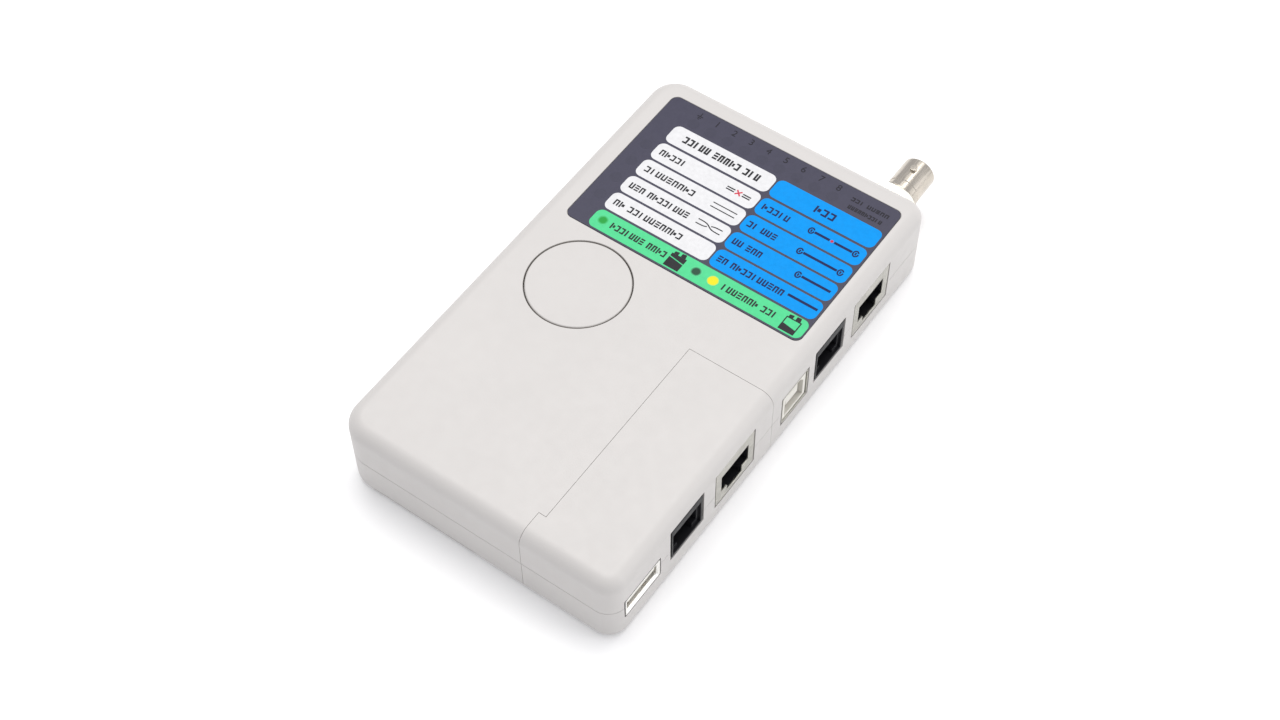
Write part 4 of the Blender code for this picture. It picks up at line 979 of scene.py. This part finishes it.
def placeholder(kind, x, y, width, height, pen):
    """One stand-in mark the size of a letter: plain strokes that spell nothing."""
    x1 = x + width
    y1 = y + height
    mid = y + height / 2
    if kind == 0:
        return [[(x, y), (x + pen, y), (x + pen, y1 - pen), (x1 - pen, y1 - pen), (x1 - pen, y), (x1, y),
                 (x1, y1), (x, y1)]]
    if kind == 1:
        return [bar(x, x1, y, y + pen), bar(x, x1, mid - pen / 2, mid + pen / 2), bar(x, x1, y1 - pen, y1)]
    if kind == 2:
        return [[(x, y), (x1, y), (x1, y1), (x1 - pen, y1), (x1 - pen, y + pen), (x + pen, y + pen),
                 (x + pen, y1), (x, y1)]]
    if kind == 3:
        return [bar(x + width / 2 - pen, x + width / 2, y, y1)]
    if kind == 4:
        return [[(x, y), (x1, y), (x1, y1), (x, y1), (x, y1 - pen), (x1 - pen, y1 - pen), (x1 - pen, y + pen),
                 (x, y + pen)]]
    return [bar(x, x + pen, y, y1), bar(x + 1.35 * pen, x1, mid - pen, mid + pen)]


def placeholder_line(x_range, y, height, words, pen, start=0):
    """Row of stand-in marks grouped in words, fitted to a width."""
    count = sum(words)
    pitch = (x_range[1] - x_range[0]) / (count + 0.6 * (len(words) - 1))
    outlines = []
    x = x_range[0]
    index = start
    for length in words:
        for _ in range(length):
            kind = (index * 5 + index // 3) % 6
            outlines += placeholder(kind, x, y - height / 2, pitch * 0.80, height, pen)
            x += pitch
            index += 1
        x += 0.6 * pitch
    return outlines


def plug_symbol(x, y):
    """Small coaxial plug seen from its mouth: an oval ring round a pin."""
    ring = [(x + 0.72 * math.cos(a), y + 0.95 * math.sin(a)) for a in arc(0.5, 5.9, 20)]
    return [stroke(ring, 0.44), bar(x - 0.22, x + 0.22, y - 0.45, y + 0.45)]


def arc(start, sweep, steps):
    """Angles along an arc."""
    return [start + sweep * i / steps for i in range(steps + 1)]


def battery_symbol(x0, x1, full):
    """Small block battery with two terminals: filled, or an outline filled at its foot."""
    low, high = BAR_Y[0] + 0.45, BAR_Y[1] - 0.15
    cap = low + 0.78 * (high - low)
    width = x1 - x0
    split = low + (0.62 if full else 0.42) * (cap - low)
    slope = 0.35
    outlines = [
        [(x0, low), (x1, low), (x1, split - slope), (x0, split + slope)],
        [(x0 + 0.10 * width, cap + 0.02), (x0 + 0.38 * width, cap + 0.02), (x0 + 0.38 * width, high - 0.25),
         (x0 + 0.10 * width, high - 0.5)],
        [(x0 + 0.55 * width, cap + 0.02), (x0 + 0.88 * width, cap + 0.02), (x0 + 0.82 * width, high),
         (x0 + 0.55 * width, high - 0.15)],
    ]
    if full:
        return outlines + [[(x0, split + slope + 0.3), (x1, split - slope + 0.3), (x1, cap), (x0, cap)]]
    pen = 0.34
    wall_low = split + slope + 0.02
    return outlines + [bar(x0, x0 + pen, wall_low, cap - pen - 0.02), bar(x0, x1, cap - pen, cap),
                       bar(x1 - pen, x1, split - slope + 0.02, cap - pen - 0.02)]


def make_label():
    """Film, its printed panels and every mark on them."""
    sheet = prism("label_film", rounded_rectangle(LABEL_X, LABEL_Y, LABEL_RADIUS), LABEL_Z[0], LABEL_Z[1])
    ease_edges(sheet, 0.04, 2)
    settle(sheet, film, MAIN, ["face_label"], "label")

    rows = [ROW_TOP_Y - ROW_PITCH * i for i in range(4)]
    pills = [(y - ROW_HEIGHT / 2, y + ROW_HEIGHT / 2) for y in rows]
    for name, column, ink in (("panel_white", WHITE_X, ink_white), ("panel_blue", BLUE_X, ink_blue)):
        layer(name, [rounded_rectangle(column, row, PANEL_RADIUS, 8) for row in [TITLE_Y] + pills],
              PANEL_TOP, ink)
    layer("panel_green", [rounded_rectangle(BAR_X, BAR_Y, 2.0, 8)], PANEL_TOP, ink_green)
    for spot in LAMP_SPOTS:
        layer(spot[0].replace("lamp", "spot", 1), [circle(*node_centre(spot[0]), SPOT_RADIUS, SPOT_STEPS)],
              MARK_TOP, lit_spot(*spot))

    title_y = sum(TITLE_Y) / 2
    dark = placeholder_line((-24.1, 0.75), title_y, TITLE_HEIGHT, (5, 5, 3), TITLE_PEN, 2)
    for i, (end, words) in enumerate(((-18.15, (5,)), (-10.5, (9,)), (-7.5, (3, 8)), (-4.85, (2, 10)))):
        dark += placeholder_line((-26.75, end), rows[i], TEXT_HEIGHT, words, TEXT_PEN, 3 * i)
    for x0, x1 in ((-5.15, -2.6), (-0.1, 2.4)):
        dark += [bar(x0, x1, rows[0] + 0.18, rows[0] + 0.58), bar(x0, x1, rows[0] - 0.58, rows[0] - 0.18)]
    dark += [bar(-5.15, 2.5, rows[1] + side - 0.16, rows[1] + side + 0.16) for side in (0.75, -0.75)]
    dark += crossing_lines(-5.15, 2.5, rows[2] + 0.15, 1.0, 0.34)
    bar_y = sum(BAR_Y) / 2
    dark += placeholder_line((-22.75, -4.9), bar_y, TEXT_HEIGHT, (7, 4), TEXT_PEN, 1)
    dark += placeholder_line((12.5, 29.6), bar_y, TEXT_HEIGHT, (7, 3), TEXT_PEN, 4)
    dark += battery_symbol(-4.25, 0.35, True)
    dark += battery_symbol(31.35, 35.95, False)
    layer("marks_dark", dark, MARK_TOP, ink_dark)

    navy = placeholder_line((18.2, 24.8), title_y, TITLE_HEIGHT, (3,), TITLE_PEN, 1)
    for i, (end, words) in enumerate(((15.0, (5,)), (15.6, (2, 3)), (15.6, (2, 3)), (27.0, (2, 10)))):
        navy += placeholder_line((6.4, end), rows[i], TEXT_HEIGHT, words, TEXT_PEN, 2 * i + 1)
    line_y = [row + rise for row, rise in zip(rows, (0.4, 0.0, 0.25, 0.5))]
    for row, left, right in ((0, 21.45, 35.1), (1, 22.65, 35.1), (2, 26.5, None)):
        navy += plug_symbol(left, line_y[row])
        if right:
            navy += plug_symbol(right, line_y[row])
    for row, start, end in ((0, 22.5, 27.1), (0, 28.5, 34.0), (1, 23.7, 34.0), (2, 27.6, 36.4),
                            (3, 27.8, 36.8)):
        navy.append(bar(start, end, line_y[row] - LINE_PEN / 2, line_y[row] + LINE_PEN / 2))
    layer("marks_navy", navy, MARK_TOP, ink_navy)

    y = rows[0]
    cross = [stroke([(-2.15, y - 0.8), (-1.35, y), (-0.55, y + 0.8)], CROSS_PEN),
             stroke([(-2.15, y + 0.8), (-1.52, y + 0.17)], CROSS_PEN),
             stroke([(-1.18, y - 0.17), (-0.55, y - 0.8)], CROSS_PEN),
             circle(27.8, line_y[0], 0.45, 16)]
    layer("marks_red", cross, MARK_TOP, ink_red)

    dim = placeholder_line((24.3, 36.0), 61.65, DIM_HEIGHT, (3, 5), DIM_PEN, 2)
    dim += placeholder_line((24.9, 35.4), 58.9, DIM_HEIGHT, (10,), DIM_PEN, 5)
    x = node_centre("lamp_pin_ground")[0]
    for reach, low, high in ((0.13, 62.7, 63.9), (0.9, 62.4, 62.7), (0.55, 61.9, 62.15), (0.25, 61.4, 61.65)):
        dim.append(bar(x - reach, x + reach, low, high))
    layer("marks_dim", dim, MARK_TOP, ink_dim)
    for i in range(8):
        digit(i + 1, node_centre("lamp_pin_%d" % (i + 1))[0], DIGIT_Y)
    tinted = [circle(*node_centre(node), 1.7, 28) for node in LAMP_NODES if "battery" not in node]
    layer("lamp_windows", tinted, PANEL_TOP - 0.005, window_tint)


def crossing_lines(x0, x1, y, gap, pen):
    """Two lines that swap places half way; the second breaks for the first."""
    def path(sign, part):
        points = []
        for i in range(17):
            t = part[0] + (part[1] - part[0]) * i / 16
            turn = 1 / (1 + math.exp(-14 * (t - 0.5)))
            points.append((x0 + (x1 - x0) * t, y + sign * gap * (0.5 - turn) * 1.5))
        return stroke(points, pen)

    return [path(1, (0.0, 1.0)), path(-1, (0.0, 0.44)), path(-1, (0.56, 1.0))]


def digit(number, x, y):
    """Pin number beside its lamp, dimly printed."""
    source = bpy.data.curves.new("digit", "FONT")
    source.body = str(number)
    source.size = DIGIT_SIZE * MM
    source.extrude = (MARK_TOP - PRINT_LOW) / 2 * MM
    source.align_x = "CENTER"
    source.align_y = "CENTER"
    item = placed("digit", source)
    bpy.context.view_layer.update()
    graph = bpy.context.evaluated_depsgraph_get()
    mesh = bpy.data.meshes.new_from_object(item.evaluated_get(graph))
    bpy.data.objects.remove(item)
    shape = bmesh.new()
    shape.from_mesh(mesh)
    bmesh.ops.remove_doubles(shape, verts=shape.verts, dist=WELD * MM)
    shape.to_mesh(mesh)
    shape.free()
    made = moved(placed("pin_number_%d" % number, mesh), x, y, (MARK_TOP + PRINT_LOW) / 2)
    settle(made, ink_dim, MAIN, (), "label")


def make_lamps():
    """Domed lamps with their collars, one shape for all."""
    base, tip = span(LAMP_NODES[0])[2]
    rim, collar = LAMP_COLLAR_RADIUS, base + LAMP_COLLAR_HEIGHT
    profile = [(0.0, base), (rim - 0.05, base), (rim, base + 0.05), (rim, collar - 0.05),
               (rim - 0.05, collar), (LAMP_RADIUS, collar)]
    for i in range(LAMP_EASES):
        angle = math.pi / 2 * i / LAMP_EASES
        profile.append((LAMP_RADIUS * math.cos(angle), tip - LAMP_RADIUS * (1 - math.sin(angle))))
    profile.append((0.0, tip))
    for node in LAMP_NODES:
        x, y = node_centre(node)
        lamp = moved(turned(node.replace("lamp", "lens", 1), profile, 32), x, y)
        finish, slot = LAMP_FINISHES.get(node, (red_resin, "lamp_red"))
        settle(lamp, finish, MAIN, [node], slot)


make_label()
make_lamps()


# ---------------------------------------------------------------- sockets

def plug_outline(half_width, step_z, latch_half_width, latch_z):
    """Section of a modular plug's way: wide above, with the latch's notch below."""
    left = ((-half_width, PLUG_TOP_Z), (-half_width, step_z), (-latch_half_width, step_z),
            (-latch_half_width, latch_z))
    return left + tuple((-y, z) for y, z in left[::-1])


RJ45_WAY = plug_outline(6.0, 10.1, 3.3, 7.8)
RJ11_WAY = plug_outline(5.0, 10.3, 3.1, 8.9)


def contact_wires(name, count):
    """Sprung contact wires that leave the roof's slot and slope down into the way."""
    wires = []
    first = -(count - 1) / 2 * CONTACT_PITCH
    for i in range(count):
        y = first + i * CONTACT_PITCH
        route = ((-1.75, y, 17.28), (-2.6, y, 17.2), (-3.6, y, 17.0), (-5.5, y, 16.6), (-8.0, y, 16.05),
                 (-10.2, y, 15.58), (-10.8, y, 15.5))
        wires.append(wire(route, CONTACT_WIRE_RADIUS))
    return merged(name, wires)


def contact_grooves(count):
    """One groove in a socket's roof for each contact."""
    first = -(count - 1) / 2 * CONTACT_PITCH
    return [box("groove", (-11.6, first + i * CONTACT_PITCH - 0.3, PLUG_TOP_Z - 0.3),
                (-1.3, first + i * CONTACT_PITCH + 0.3, PLUG_TOP_Z + 1.1)) for i in range(count)]


def socket_size(node):
    """Depth, half width, middle y, and lowest and highest z of a socket's outer node."""
    (x0, x1), (y0, y1), (low, high) = span(node)
    return x1 - x0, (y1 - y0) / 2, (y0 + y1) / 2, low, high


def settle_socket(item, node, finish, body, slot, y):
    """Put a socket's piece at its place along the side."""
    moved(item, SOCKET_FACE_X, y)
    settle(item, finish, body, [node], slot)


def make_rj45(prefix, body):
    """Shielded eight-way socket."""
    depth, half, y, low, high = socket_size(prefix + "_rj45_shield")
    outline = rounded_rectangle((-half, half), (low, high), 0.5, 5)
    shield = prism(prefix + "_rj45_can", outline, -depth, 0.0, "X")
    cut(shield, prism("way", RJ45_WAY, -2.0, 1.0, "X"))
    for side in (-1, 1):
        for z in (9.0, 14.5):
            cut(shield, box("slit", (-9.0, side * half - 0.2, z), (-2.4, side * half + 0.2, z + 0.35)))
    ease_edges(shield, 0.14)
    cut(shield, box("inside", (-depth - 1, -half + METAL, low + METAL), (-METAL, half - METAL, high - METAL)))
    # The shield takes the tin darkened as painted shade.
    settle_socket(shield, prefix + "_rj45_shield", tin, body, "tin_plate", y)
    inner = half - METAL - 0.2
    insert = box(prefix + "_rj45_core", (-depth + 0.2, -inner, low + METAL + 0.2),
                 (-METAL - 0.2, inner, high - METAL - 0.2))
    cut(insert, prism("way", RJ45_WAY, -13.0, 1.0, "X"), *contact_grooves(8))
    ease_edges(insert, 0.06, 2)
    settle_socket(insert, prefix + "_rj45_insert", black_plastic, body, "black_plastic", y)
    settle_socket(contact_wires(prefix + "_rj45_wires", 8), prefix + "_rj45_contacts", gold, body,
                  "gold_plate", y)


def make_rj11(prefix, body):
    """Plain six-way socket with four contacts."""
    depth, half, y, bottom, high = socket_size(prefix + "_rj11_housing")
    outline = rounded_rectangle((-half, half), (RJ11_LOW_Z, high), 0.3, 3)
    housing = prism(prefix + "_rj11_body", outline, -depth, 0.0, "X")
    join(housing, box("heel", (-depth, -half + 0.02, bottom), (-3.0, half - 0.02, RJ11_LOW_Z + 1)))
    lead_in = ((-5.9, 17.5), (-5.9, 8.9), (5.9, 8.9), (5.9, 17.5))
    cut(housing, prism("lead_in", lead_in, -0.8, 1.0, "X"), prism("way", RJ11_WAY, -12.0, 1.0, "X"),
        *contact_grooves(4))
    ease_edges(housing, 0.12, 2)
    settle_socket(housing, prefix + "_rj11_housing", black_plastic, body, "black_plastic", y)
    settle_socket(contact_wires(prefix + "_rj11_wires", 4), prefix + "_rj11_contacts", gold, body,
                  "gold_plate", y)


def contact_strips(name, strips, body, y):
    """Flat contacts from their middle y, back and front x, and lower and upper z."""
    plates = [ease_edges(box("strip", (back, side - 0.5, low), (front, side + 0.5, high)), 0.05, 2)
              for side, back, front, low, high in strips]
    settle(moved(merged(name, plates), SOCKET_FACE_X, y), gold, body, (), "gold_plate")


def make_usb_b():
    """Square USB socket: drawn metal shell, moulded insert and its block."""
    depth, half, y, low, high = socket_size("usb_b_shell")
    outer = rounded_rectangle((-half, half), (low, high), 0.8, 6)
    inner = rounded_rectangle((-half + METAL, half - METAL), (low + METAL, high - METAL), 0.4, 6)
    can = prism("usb_b_can", outer, -depth, 0.0, "X")
    cut(can, prism("inside", inner, -depth - 1, 1.0, "X"))
    ease_edges(can, 0.1, 2)
    settle_socket(can, "usb_b_shell", tin, MAIN, "tin_plate", y)
    gap = METAL + 0.2
    outline = rounded_rectangle((-half + gap, half - gap), (low + gap, high - gap), 0.3, 4)
    insert = prism("usb_b_core", outline, -depth + 0.2, -0.3, "X")
    centre = (low + high) / 2
    way = ((-4.25, centre - 3.9), (4.25, centre - 3.9), (4.25, centre + 2.3), (2.65, centre + 3.9),
           (-2.65, centre + 3.9), (-4.25, centre + 2.3))
    ring = prism("way", way, -9.5, 1.0, "X")
    cut(ring, box("block", (-20.0, -2.8, centre - 1.6), (-1.0, 2.8, centre + 1.6)))
    cut(insert, ring)
    ease_edges(insert, 0.12, 2)
    settle_socket(insert, "usb_b_insert", white_plastic, MAIN, "white_plastic", y)
    strips = [(side_y, -8.5, -1.9, side_z, side_z + 0.18)
              for side_z in (centre + 1.6, centre - 1.78) for side_y in (-1.25, 1.25)]
    contact_strips("usb_b_strips", strips, MAIN, y)


def make_usb_a():
    """Flat USB socket: metal shell with a flared lip, tongue and contact strips."""
    depth, _, y, low, high = socket_size("usb_a_shell")
    centre = (low + high) / 2
    tube_half = 6.6
    tube_half_z = 2.9

    def flaring(name, levels, radius):
        rings = []
        for x, flare in levels:
            outline = rounded_rectangle((-tube_half - flare, tube_half + flare),
                                        (centre - tube_half_z - flare, centre + tube_half_z + flare),
                                        radius, 5)
            rings.append([(x, u, v) for u, v in outline])
        return loft(name, rings)

    can = flaring("usb_a_can", ((-depth, 0.0), (-1.1, 0.0), (-0.75, 0.06), (-0.45, 0.2), (-0.2, 0.42),
                                (0.0, 0.5)), 0.5)
    cut(can, flaring("inside", ((-depth - 1, -METAL), (-0.7, -METAL), (-0.4, 0.1 - METAL),
                                (-0.15, 0.3 - METAL), (0.01, 0.42 - METAL)), 0.3))
    for side_y in (-3.3, 3.3):
        for side_z in (centre - tube_half_z + METAL / 2, centre + tube_half_z - METAL / 2):
            for edge in (side_y - 1.3, side_y + 1.0):
                cut(can, box("slit", (-6.5, edge, side_z - 0.5), (-1.8, edge + 0.3, side_z + 0.5)))
    # The shell takes the tin lightened as a painted reflection of the floor.
    settle_socket(can, "usb_a_shell", painted_reflection_tin, REMOTE, "tin_plate", y)
    tongue = box("usb_a_blade", (-13.6, -6.2, BOARD_TOP + 0.2), (-depth - 0.3, 6.2, high - 0.6))
    join(tongue, box("blade", (-12.0, -5.6, centre + 0.2), (-0.55, 5.6, centre + 2.1)))
    ease_edges(tongue, 0.15)
    settle_socket(tongue, "usb_a_tongue", white_plastic, REMOTE, "white_plastic", y)
    strips = [(side_y, -9.5, front, centre + 0.14, centre + 0.34)
              for side_y, front in ((-3.5, -1.6), (-1.0, -2.4), (1.0, -2.4), (3.5, -1.6))]
    contact_strips("usb_a_strips", strips, REMOTE, y)


for maker in (make_rj45, make_rj11):
    maker("main", MAIN)
    maker("remote", REMOTE)
make_usb_b()
make_usb_a()


# ---------------------------------------------------------------- coaxial jack

def settle_bnc(item, node, finish, slot):
    """Put a turned piece on the jack's axis."""
    moved(item, BNC_X, 0.0, BNC_Z)
    settle(item, finish, MAIN, [node], slot, 30.0)


def make_bnc():
    """Threaded neck, barrel with bayonet lugs, insulator, contact, washer and nut."""
    neck_start = HALF_Y - 2 * WALL
    tip = BNC_TIP_Y
    radius = BNC_BARREL_RADIUS
    profile = [(0.0, neck_start), (BNC_NECK_RADIUS - 0.3, neck_start)]
    y = neck_start + 0.2
    while y < BNC_NECK_Y - 0.9:
        profile += [(BNC_NECK_RADIUS - BNC_THREAD_DEPTH, y), (BNC_NECK_RADIUS, y + BNC_THREAD_PITCH / 2)]
        y += BNC_THREAD_PITCH
    profile += [(BNC_NECK_RADIUS + dr, BNC_NECK_Y + dy)
                for dr, dy in ((-0.3, -0.7), (-0.05, -0.6), (-0.05, -0.2), (-0.25, 0.0))]
    profile += [(radius + 0.15, BNC_NECK_Y), (radius, BNC_NECK_Y + 0.15)]
    profile += [(radius + dr, tip + dy)
                for dr, dy in ((0.0, -9.6), (-0.18, -9.4), (-0.18, -8.9), (0.0, -8.7), (0.0, -0.45),
                               (-0.08, -0.2), (-0.25, 0.0))]
    profile += [(BNC_BORE_RADIUS + 0.25, tip), (BNC_BORE_RADIUS, tip - 0.3),
                (BNC_BORE_RADIUS, BNC_NECK_Y + 1), (0.0, BNC_NECK_Y + 1)]
    body = turned("bnc_shell", profile, BNC_STEPS, "Y")
    block_low = span("bnc_body")[2][0] - BNC_Z
    block = box("block", (-7.0, 56.0, block_low), (7.0, HALF_Y - WALL - 1.4, 7.0))
    join(body, ease_edges(block, 0.25))
    for side in (-1, 1):
        lug = cylinder("lug", (0.0, 0.0), BNC_LUG_RADIUS, radius - 0.5, BNC_LUG_REACH)
        ease_edges(lug, 0.18)
        lug.data.transform(Matrix.Rotation(0.0 if side > 0 else math.pi, 4, "Y"))
        join(body, moved(lug, y=tip - BNC_LUG_SETBACK))
    # The barrel takes the nickel darkened as painted shade.
    settle_bnc(body, "bnc_body", nickel, "nickel")
    seat = BNC_NECK_Y + 1.3
    insulator = turned("bnc_dielectric", ((0.95, seat), (3.7, seat), (3.7, seat + 1.5), (3.6, seat + 1.6),
                                          (2.3, seat + 1.6), (2.3, tip - 3.15), (2.15, tip - 3.0),
                                          (1.1, tip - 3.0), (0.95, tip - 3.15)), 48, "Y", True)
    settle_bnc(insulator, "bnc_insulator", ptfe, "white_plastic")
    contact = turned("bnc_socket_pin", ((0.0, seat), (0.65, seat), (0.65, tip - 2.55), (0.5, tip - 2.4),
                                        (0.3, tip - 2.4), (0.3, tip - 5.0), (0.0, tip - 5.0)), 32, "Y")
    settle_bnc(contact, "bnc_centre_contact", gold, "gold_plate")
    low, high = span("bnc_washer")[1]
    section = ((BNC_HOLE_RADIUS + 0.1, low), (BNC_WASHER_RADIUS - 0.15, low),
               (BNC_WASHER_RADIUS, low + 0.15), (BNC_WASHER_RADIUS, high - 0.2),
               (BNC_WASHER_RADIUS - 0.2, high), (BNC_HOLE_RADIUS + 0.1, high),
               (BNC_HOLE_RADIUS, high - 0.1), (BNC_HOLE_RADIUS, low + 0.1))
    washer = turned("bnc_lock_washer", section, 96, "Y", True)
    # The washer and the nut take the nickel lightened as a painted highlight.
    settle_bnc(washer, "bnc_washer", painted_highlight_nickel, "nickel")
    low, high = span("bnc_nut")[1]
    corner = span("bnc_nut")[0][1] - BNC_X
    flat = corner * math.cos(math.pi / 6)
    nut = prism("bnc_hex_nut", circle(0.0, 0.0, corner, 6, math.pi), low, high, "Y")
    crown = turned("crown", ((0.0, low - 0.01), (flat + 0.05, low - 0.01), (corner + 0.05, low + 0.55),
                             (corner + 0.05, high - 0.55), (flat + 0.05, high + 0.01), (0.0, high + 0.01)),
                   96, "Y")
    combine(nut, crown, "INTERSECT")
    hole = turned("hole", ((0.0, low - 1.0), (BNC_HOLE_RADIUS + 1.3, low - 1.0), (BNC_HOLE_RADIUS, low + 0.3),
                           (BNC_HOLE_RADIUS, high - 0.3), (BNC_HOLE_RADIUS + 1.3, high + 1.0),
                           (0.0, high + 1.0)), BNC_STEPS, "Y")
    cut(nut, hole)
    ease_edges(nut, 0.08, 2, 25.0)
    settle_bnc(nut, "bnc_nut", painted_highlight_nickel, "nickel")


make_bnc()


# ---------------------------------------------------------------- screws and inside

def make_screws():
    """Pan-head screws with a tapered cross recess."""
    head_low = span("case_screw_1")[2][0]
    shank, root, head = 1.35, 1.1, 2.55
    profile = [(0.0, SCREW_TIP_Z), (shank, SCREW_TIP_Z - 1.5)]
    z = SCREW_TIP_Z - 1.8
    while z > COUNTERBORE_Z + 2.2:
        profile += [(shank, z), (root, z - 0.45), (shank, z - 0.9)]
        z -= SCREW_PITCH
    profile += [(1.2, COUNTERBORE_Z - 0.25), (head - 0.1, COUNTERBORE_Z - 0.3), (head, COUNTERBORE_Z - 0.4),
                (head, head_low + 0.9), (2.42, head_low + 0.45), (2.05, head_low + 0.12), (1.6, head_low),
                (0.0, head_low)]
    places = [("case_screw_%d" % (i + 1), MAIN) for i in range(4)]
    places += [("remote_screw_%d" % (i + 1), REMOTE) for i in range(2)]
    first = turned("screw", profile, 40)
    for turn in (0.35, 0.35 + math.pi / 2):
        arm = loft("arm", [[(x, y, head_low + depth) for x, y in bar(-reach, reach, -half, half)]
                           for reach, half, depth in ((1.45, 0.30, -0.01), (0.9, 0.18, 1.2))])
        arm.data.transform(Matrix.Rotation(turn, 4, "Z"))
        cut(first, arm)
    for i, (node, body) in enumerate(places):
        x, y = node_centre(node)
        screw = placed(node.replace("screw", "fastener"), first.data.copy())
        screw.data.transform(Matrix.Rotation(0.7 * i, 4, "Z"))
        settle(moved(screw, x, y), steel, body, [node], "screw_steel")
    bpy.data.objects.remove(first)


def make_battery():
    """Block battery: jacket between two crimped metal ends, with its terminals."""
    (x0, x1), (y0, y1), (z0, z1) = span("battery_9v")
    shoulder = y1 - BATTERY_SHOULDER
    rings = []
    levels = ((y0, 0.9), (y0 + 0.15, 0.35), (y0 + 0.5, 0.1), (y0 + 1.1, 0.0), (y0 + 1.2, 0.12),
              (shoulder - 1.2, 0.12), (shoulder - 1.1, 0.0), (shoulder - 0.5, 0.1), (shoulder - 0.15, 0.35),
              (shoulder, 0.9))
    for y, inset in levels:
        outline = rounded_rectangle((x0 + inset, x1 - inset), (z0 + inset, z1 - inset), 2.0, 8)
        rings.append([(x, y, z) for x, z in outline])
    cell = loft("battery_cell", rings)
    middle_x, middle_z = (x0 + x1) / 2, (z0 + z1) / 2
    for side, radius in BATTERY_STUDS:
        stud = cylinder("stud", (middle_x + side, middle_z), radius, shoulder - 0.5, y1, "Y", 36)
        join(cell, ease_edges(stud, 0.3))
    settle(cell, jacket_material(), MAIN, ["battery_9v"], "battery_case")


CAD_FINISHES = {
    "main_circuit_board": board,
    "display_board": board,
    "remote_circuit_board": board,
    "board_link_header": chip_plastic,
    "controller_chip": chip_plastic,
    "test_switch_body": chip_plastic,
    "test_switch_plunger": white_plastic,
    "battery_snap": black_plastic,
    "battery_lead_red": red_wire,
    "battery_lead_black": black_wire,
}


def dress_cad_nodes():
    """Better materials on the CAD nodes that stay."""
    for node, finish in CAD_FINISHES.items():
        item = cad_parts[node]
        for slot in item.material_slots:
            slot.link = "OBJECT"
            slot.material = finish
        if not item.material_slots:
            item.data.materials.append(finish)


make_screws()
make_battery()
dress_cad_nodes()


# ---------------------------------------------------------------- stage

CAMERA_AZIMUTH = 36.03
CAMERA_ELEVATION = 54.78
CAMERA_ROLL = -0.73
CAMERA_TARGET = (8.74, -13.61, 25.0)
CAMERA_DISTANCE = 511.6
CAMERA_LENS = 57.26


def make_camera():
    """Camera at the product's three-quarter view from above."""
    azimuth, elevation = math.radians(CAMERA_AZIMUTH), math.radians(CAMERA_ELEVATION)
    back = Vector((math.sin(azimuth) * math.cos(elevation), -math.cos(azimuth) * math.cos(elevation),
                   math.sin(elevation)))
    level = Vector((math.cos(azimuth), math.sin(azimuth), 0.0))
    upright = back.cross(level)
    roll = math.radians(CAMERA_ROLL)
    right = level * math.cos(roll) + upright * math.sin(roll)
    up = upright * math.cos(roll) - level * math.sin(roll)
    data = bpy.data.cameras.new("view")
    data.lens = CAMERA_LENS
    data.sensor_width = 36.0
    data.clip_start = 0.01
    data.clip_end = 20.0
    item = placed("view", data)
    place = (Vector(CAMERA_TARGET) + back * CAMERA_DISTANCE) * MM
    turn = Matrix((right, up, back)).transposed().to_4x4()
    item.matrix_world = Matrix.Translation(place) @ turn
    bpy.context.scene.camera = item


def area_light(name, place, aim, size, power, colour=(1.0, 1.0, 1.0)):
    """Square softbox that faces a point; lengths in metres."""
    data = bpy.data.lights.new(name, "AREA")
    data.shape = "RECTANGLE"
    data.size, data.size_y = size
    data.energy = power
    data.color = colour
    item = placed(name, data)
    item.location = place
    item.rotation_mode = "QUATERNION"
    item.rotation_quaternion = (Vector(aim) - Vector(place)).to_track_quat("-Z", "Y")


def make_stage():
    """Pale floor, soft world and softboxes."""
    floor_material, tree, shader, place = blank_material("floor_paper", 0.75, Specular_IOR_Level=0.2)
    tone = blended(tree, noise(tree, place, 60.0), (0.925, 0.925, 0.925), (0.94, 0.94, 0.94))
    tree.links.new(tone, shader.inputs["Base Color"])
    shader.inputs["Emission Color"].default_value = (1.0, 1.0, 1.0, 1.0)
    shader.inputs["Emission Strength"].default_value = 0.10
    reach = 3000.0
    corners = [(x, y, 0.0) for x, y in bar(-reach, reach, -reach, reach)]
    floor = mesh_object("floor", corners, ((0, 1, 2, 3),))
    floor.data.materials.append(floor_material)
    world = bpy.data.worlds.new("studio")
    world.use_nodes = True
    background = world.node_tree.nodes["Background"]
    background.inputs["Color"].default_value = (0.985, 0.99, 1.03, 1.0)
    background.inputs["Strength"].default_value = 0.67
    bpy.context.scene.world = world
    area_light("overhead", (-0.2, 0.4, 1.5), (0.0, 0.0, 0.0), (1.5, 1.1), 18.0, (1.0, 0.985, 0.96))
    area_light("right_side", (1.05, 0.5, 0.5), (0.0, 0.0, 0.01), (0.6, 0.8), 2.4)
    bpy.context.scene.view_settings.view_transform = "Standard"


make_camera()
make_stage()
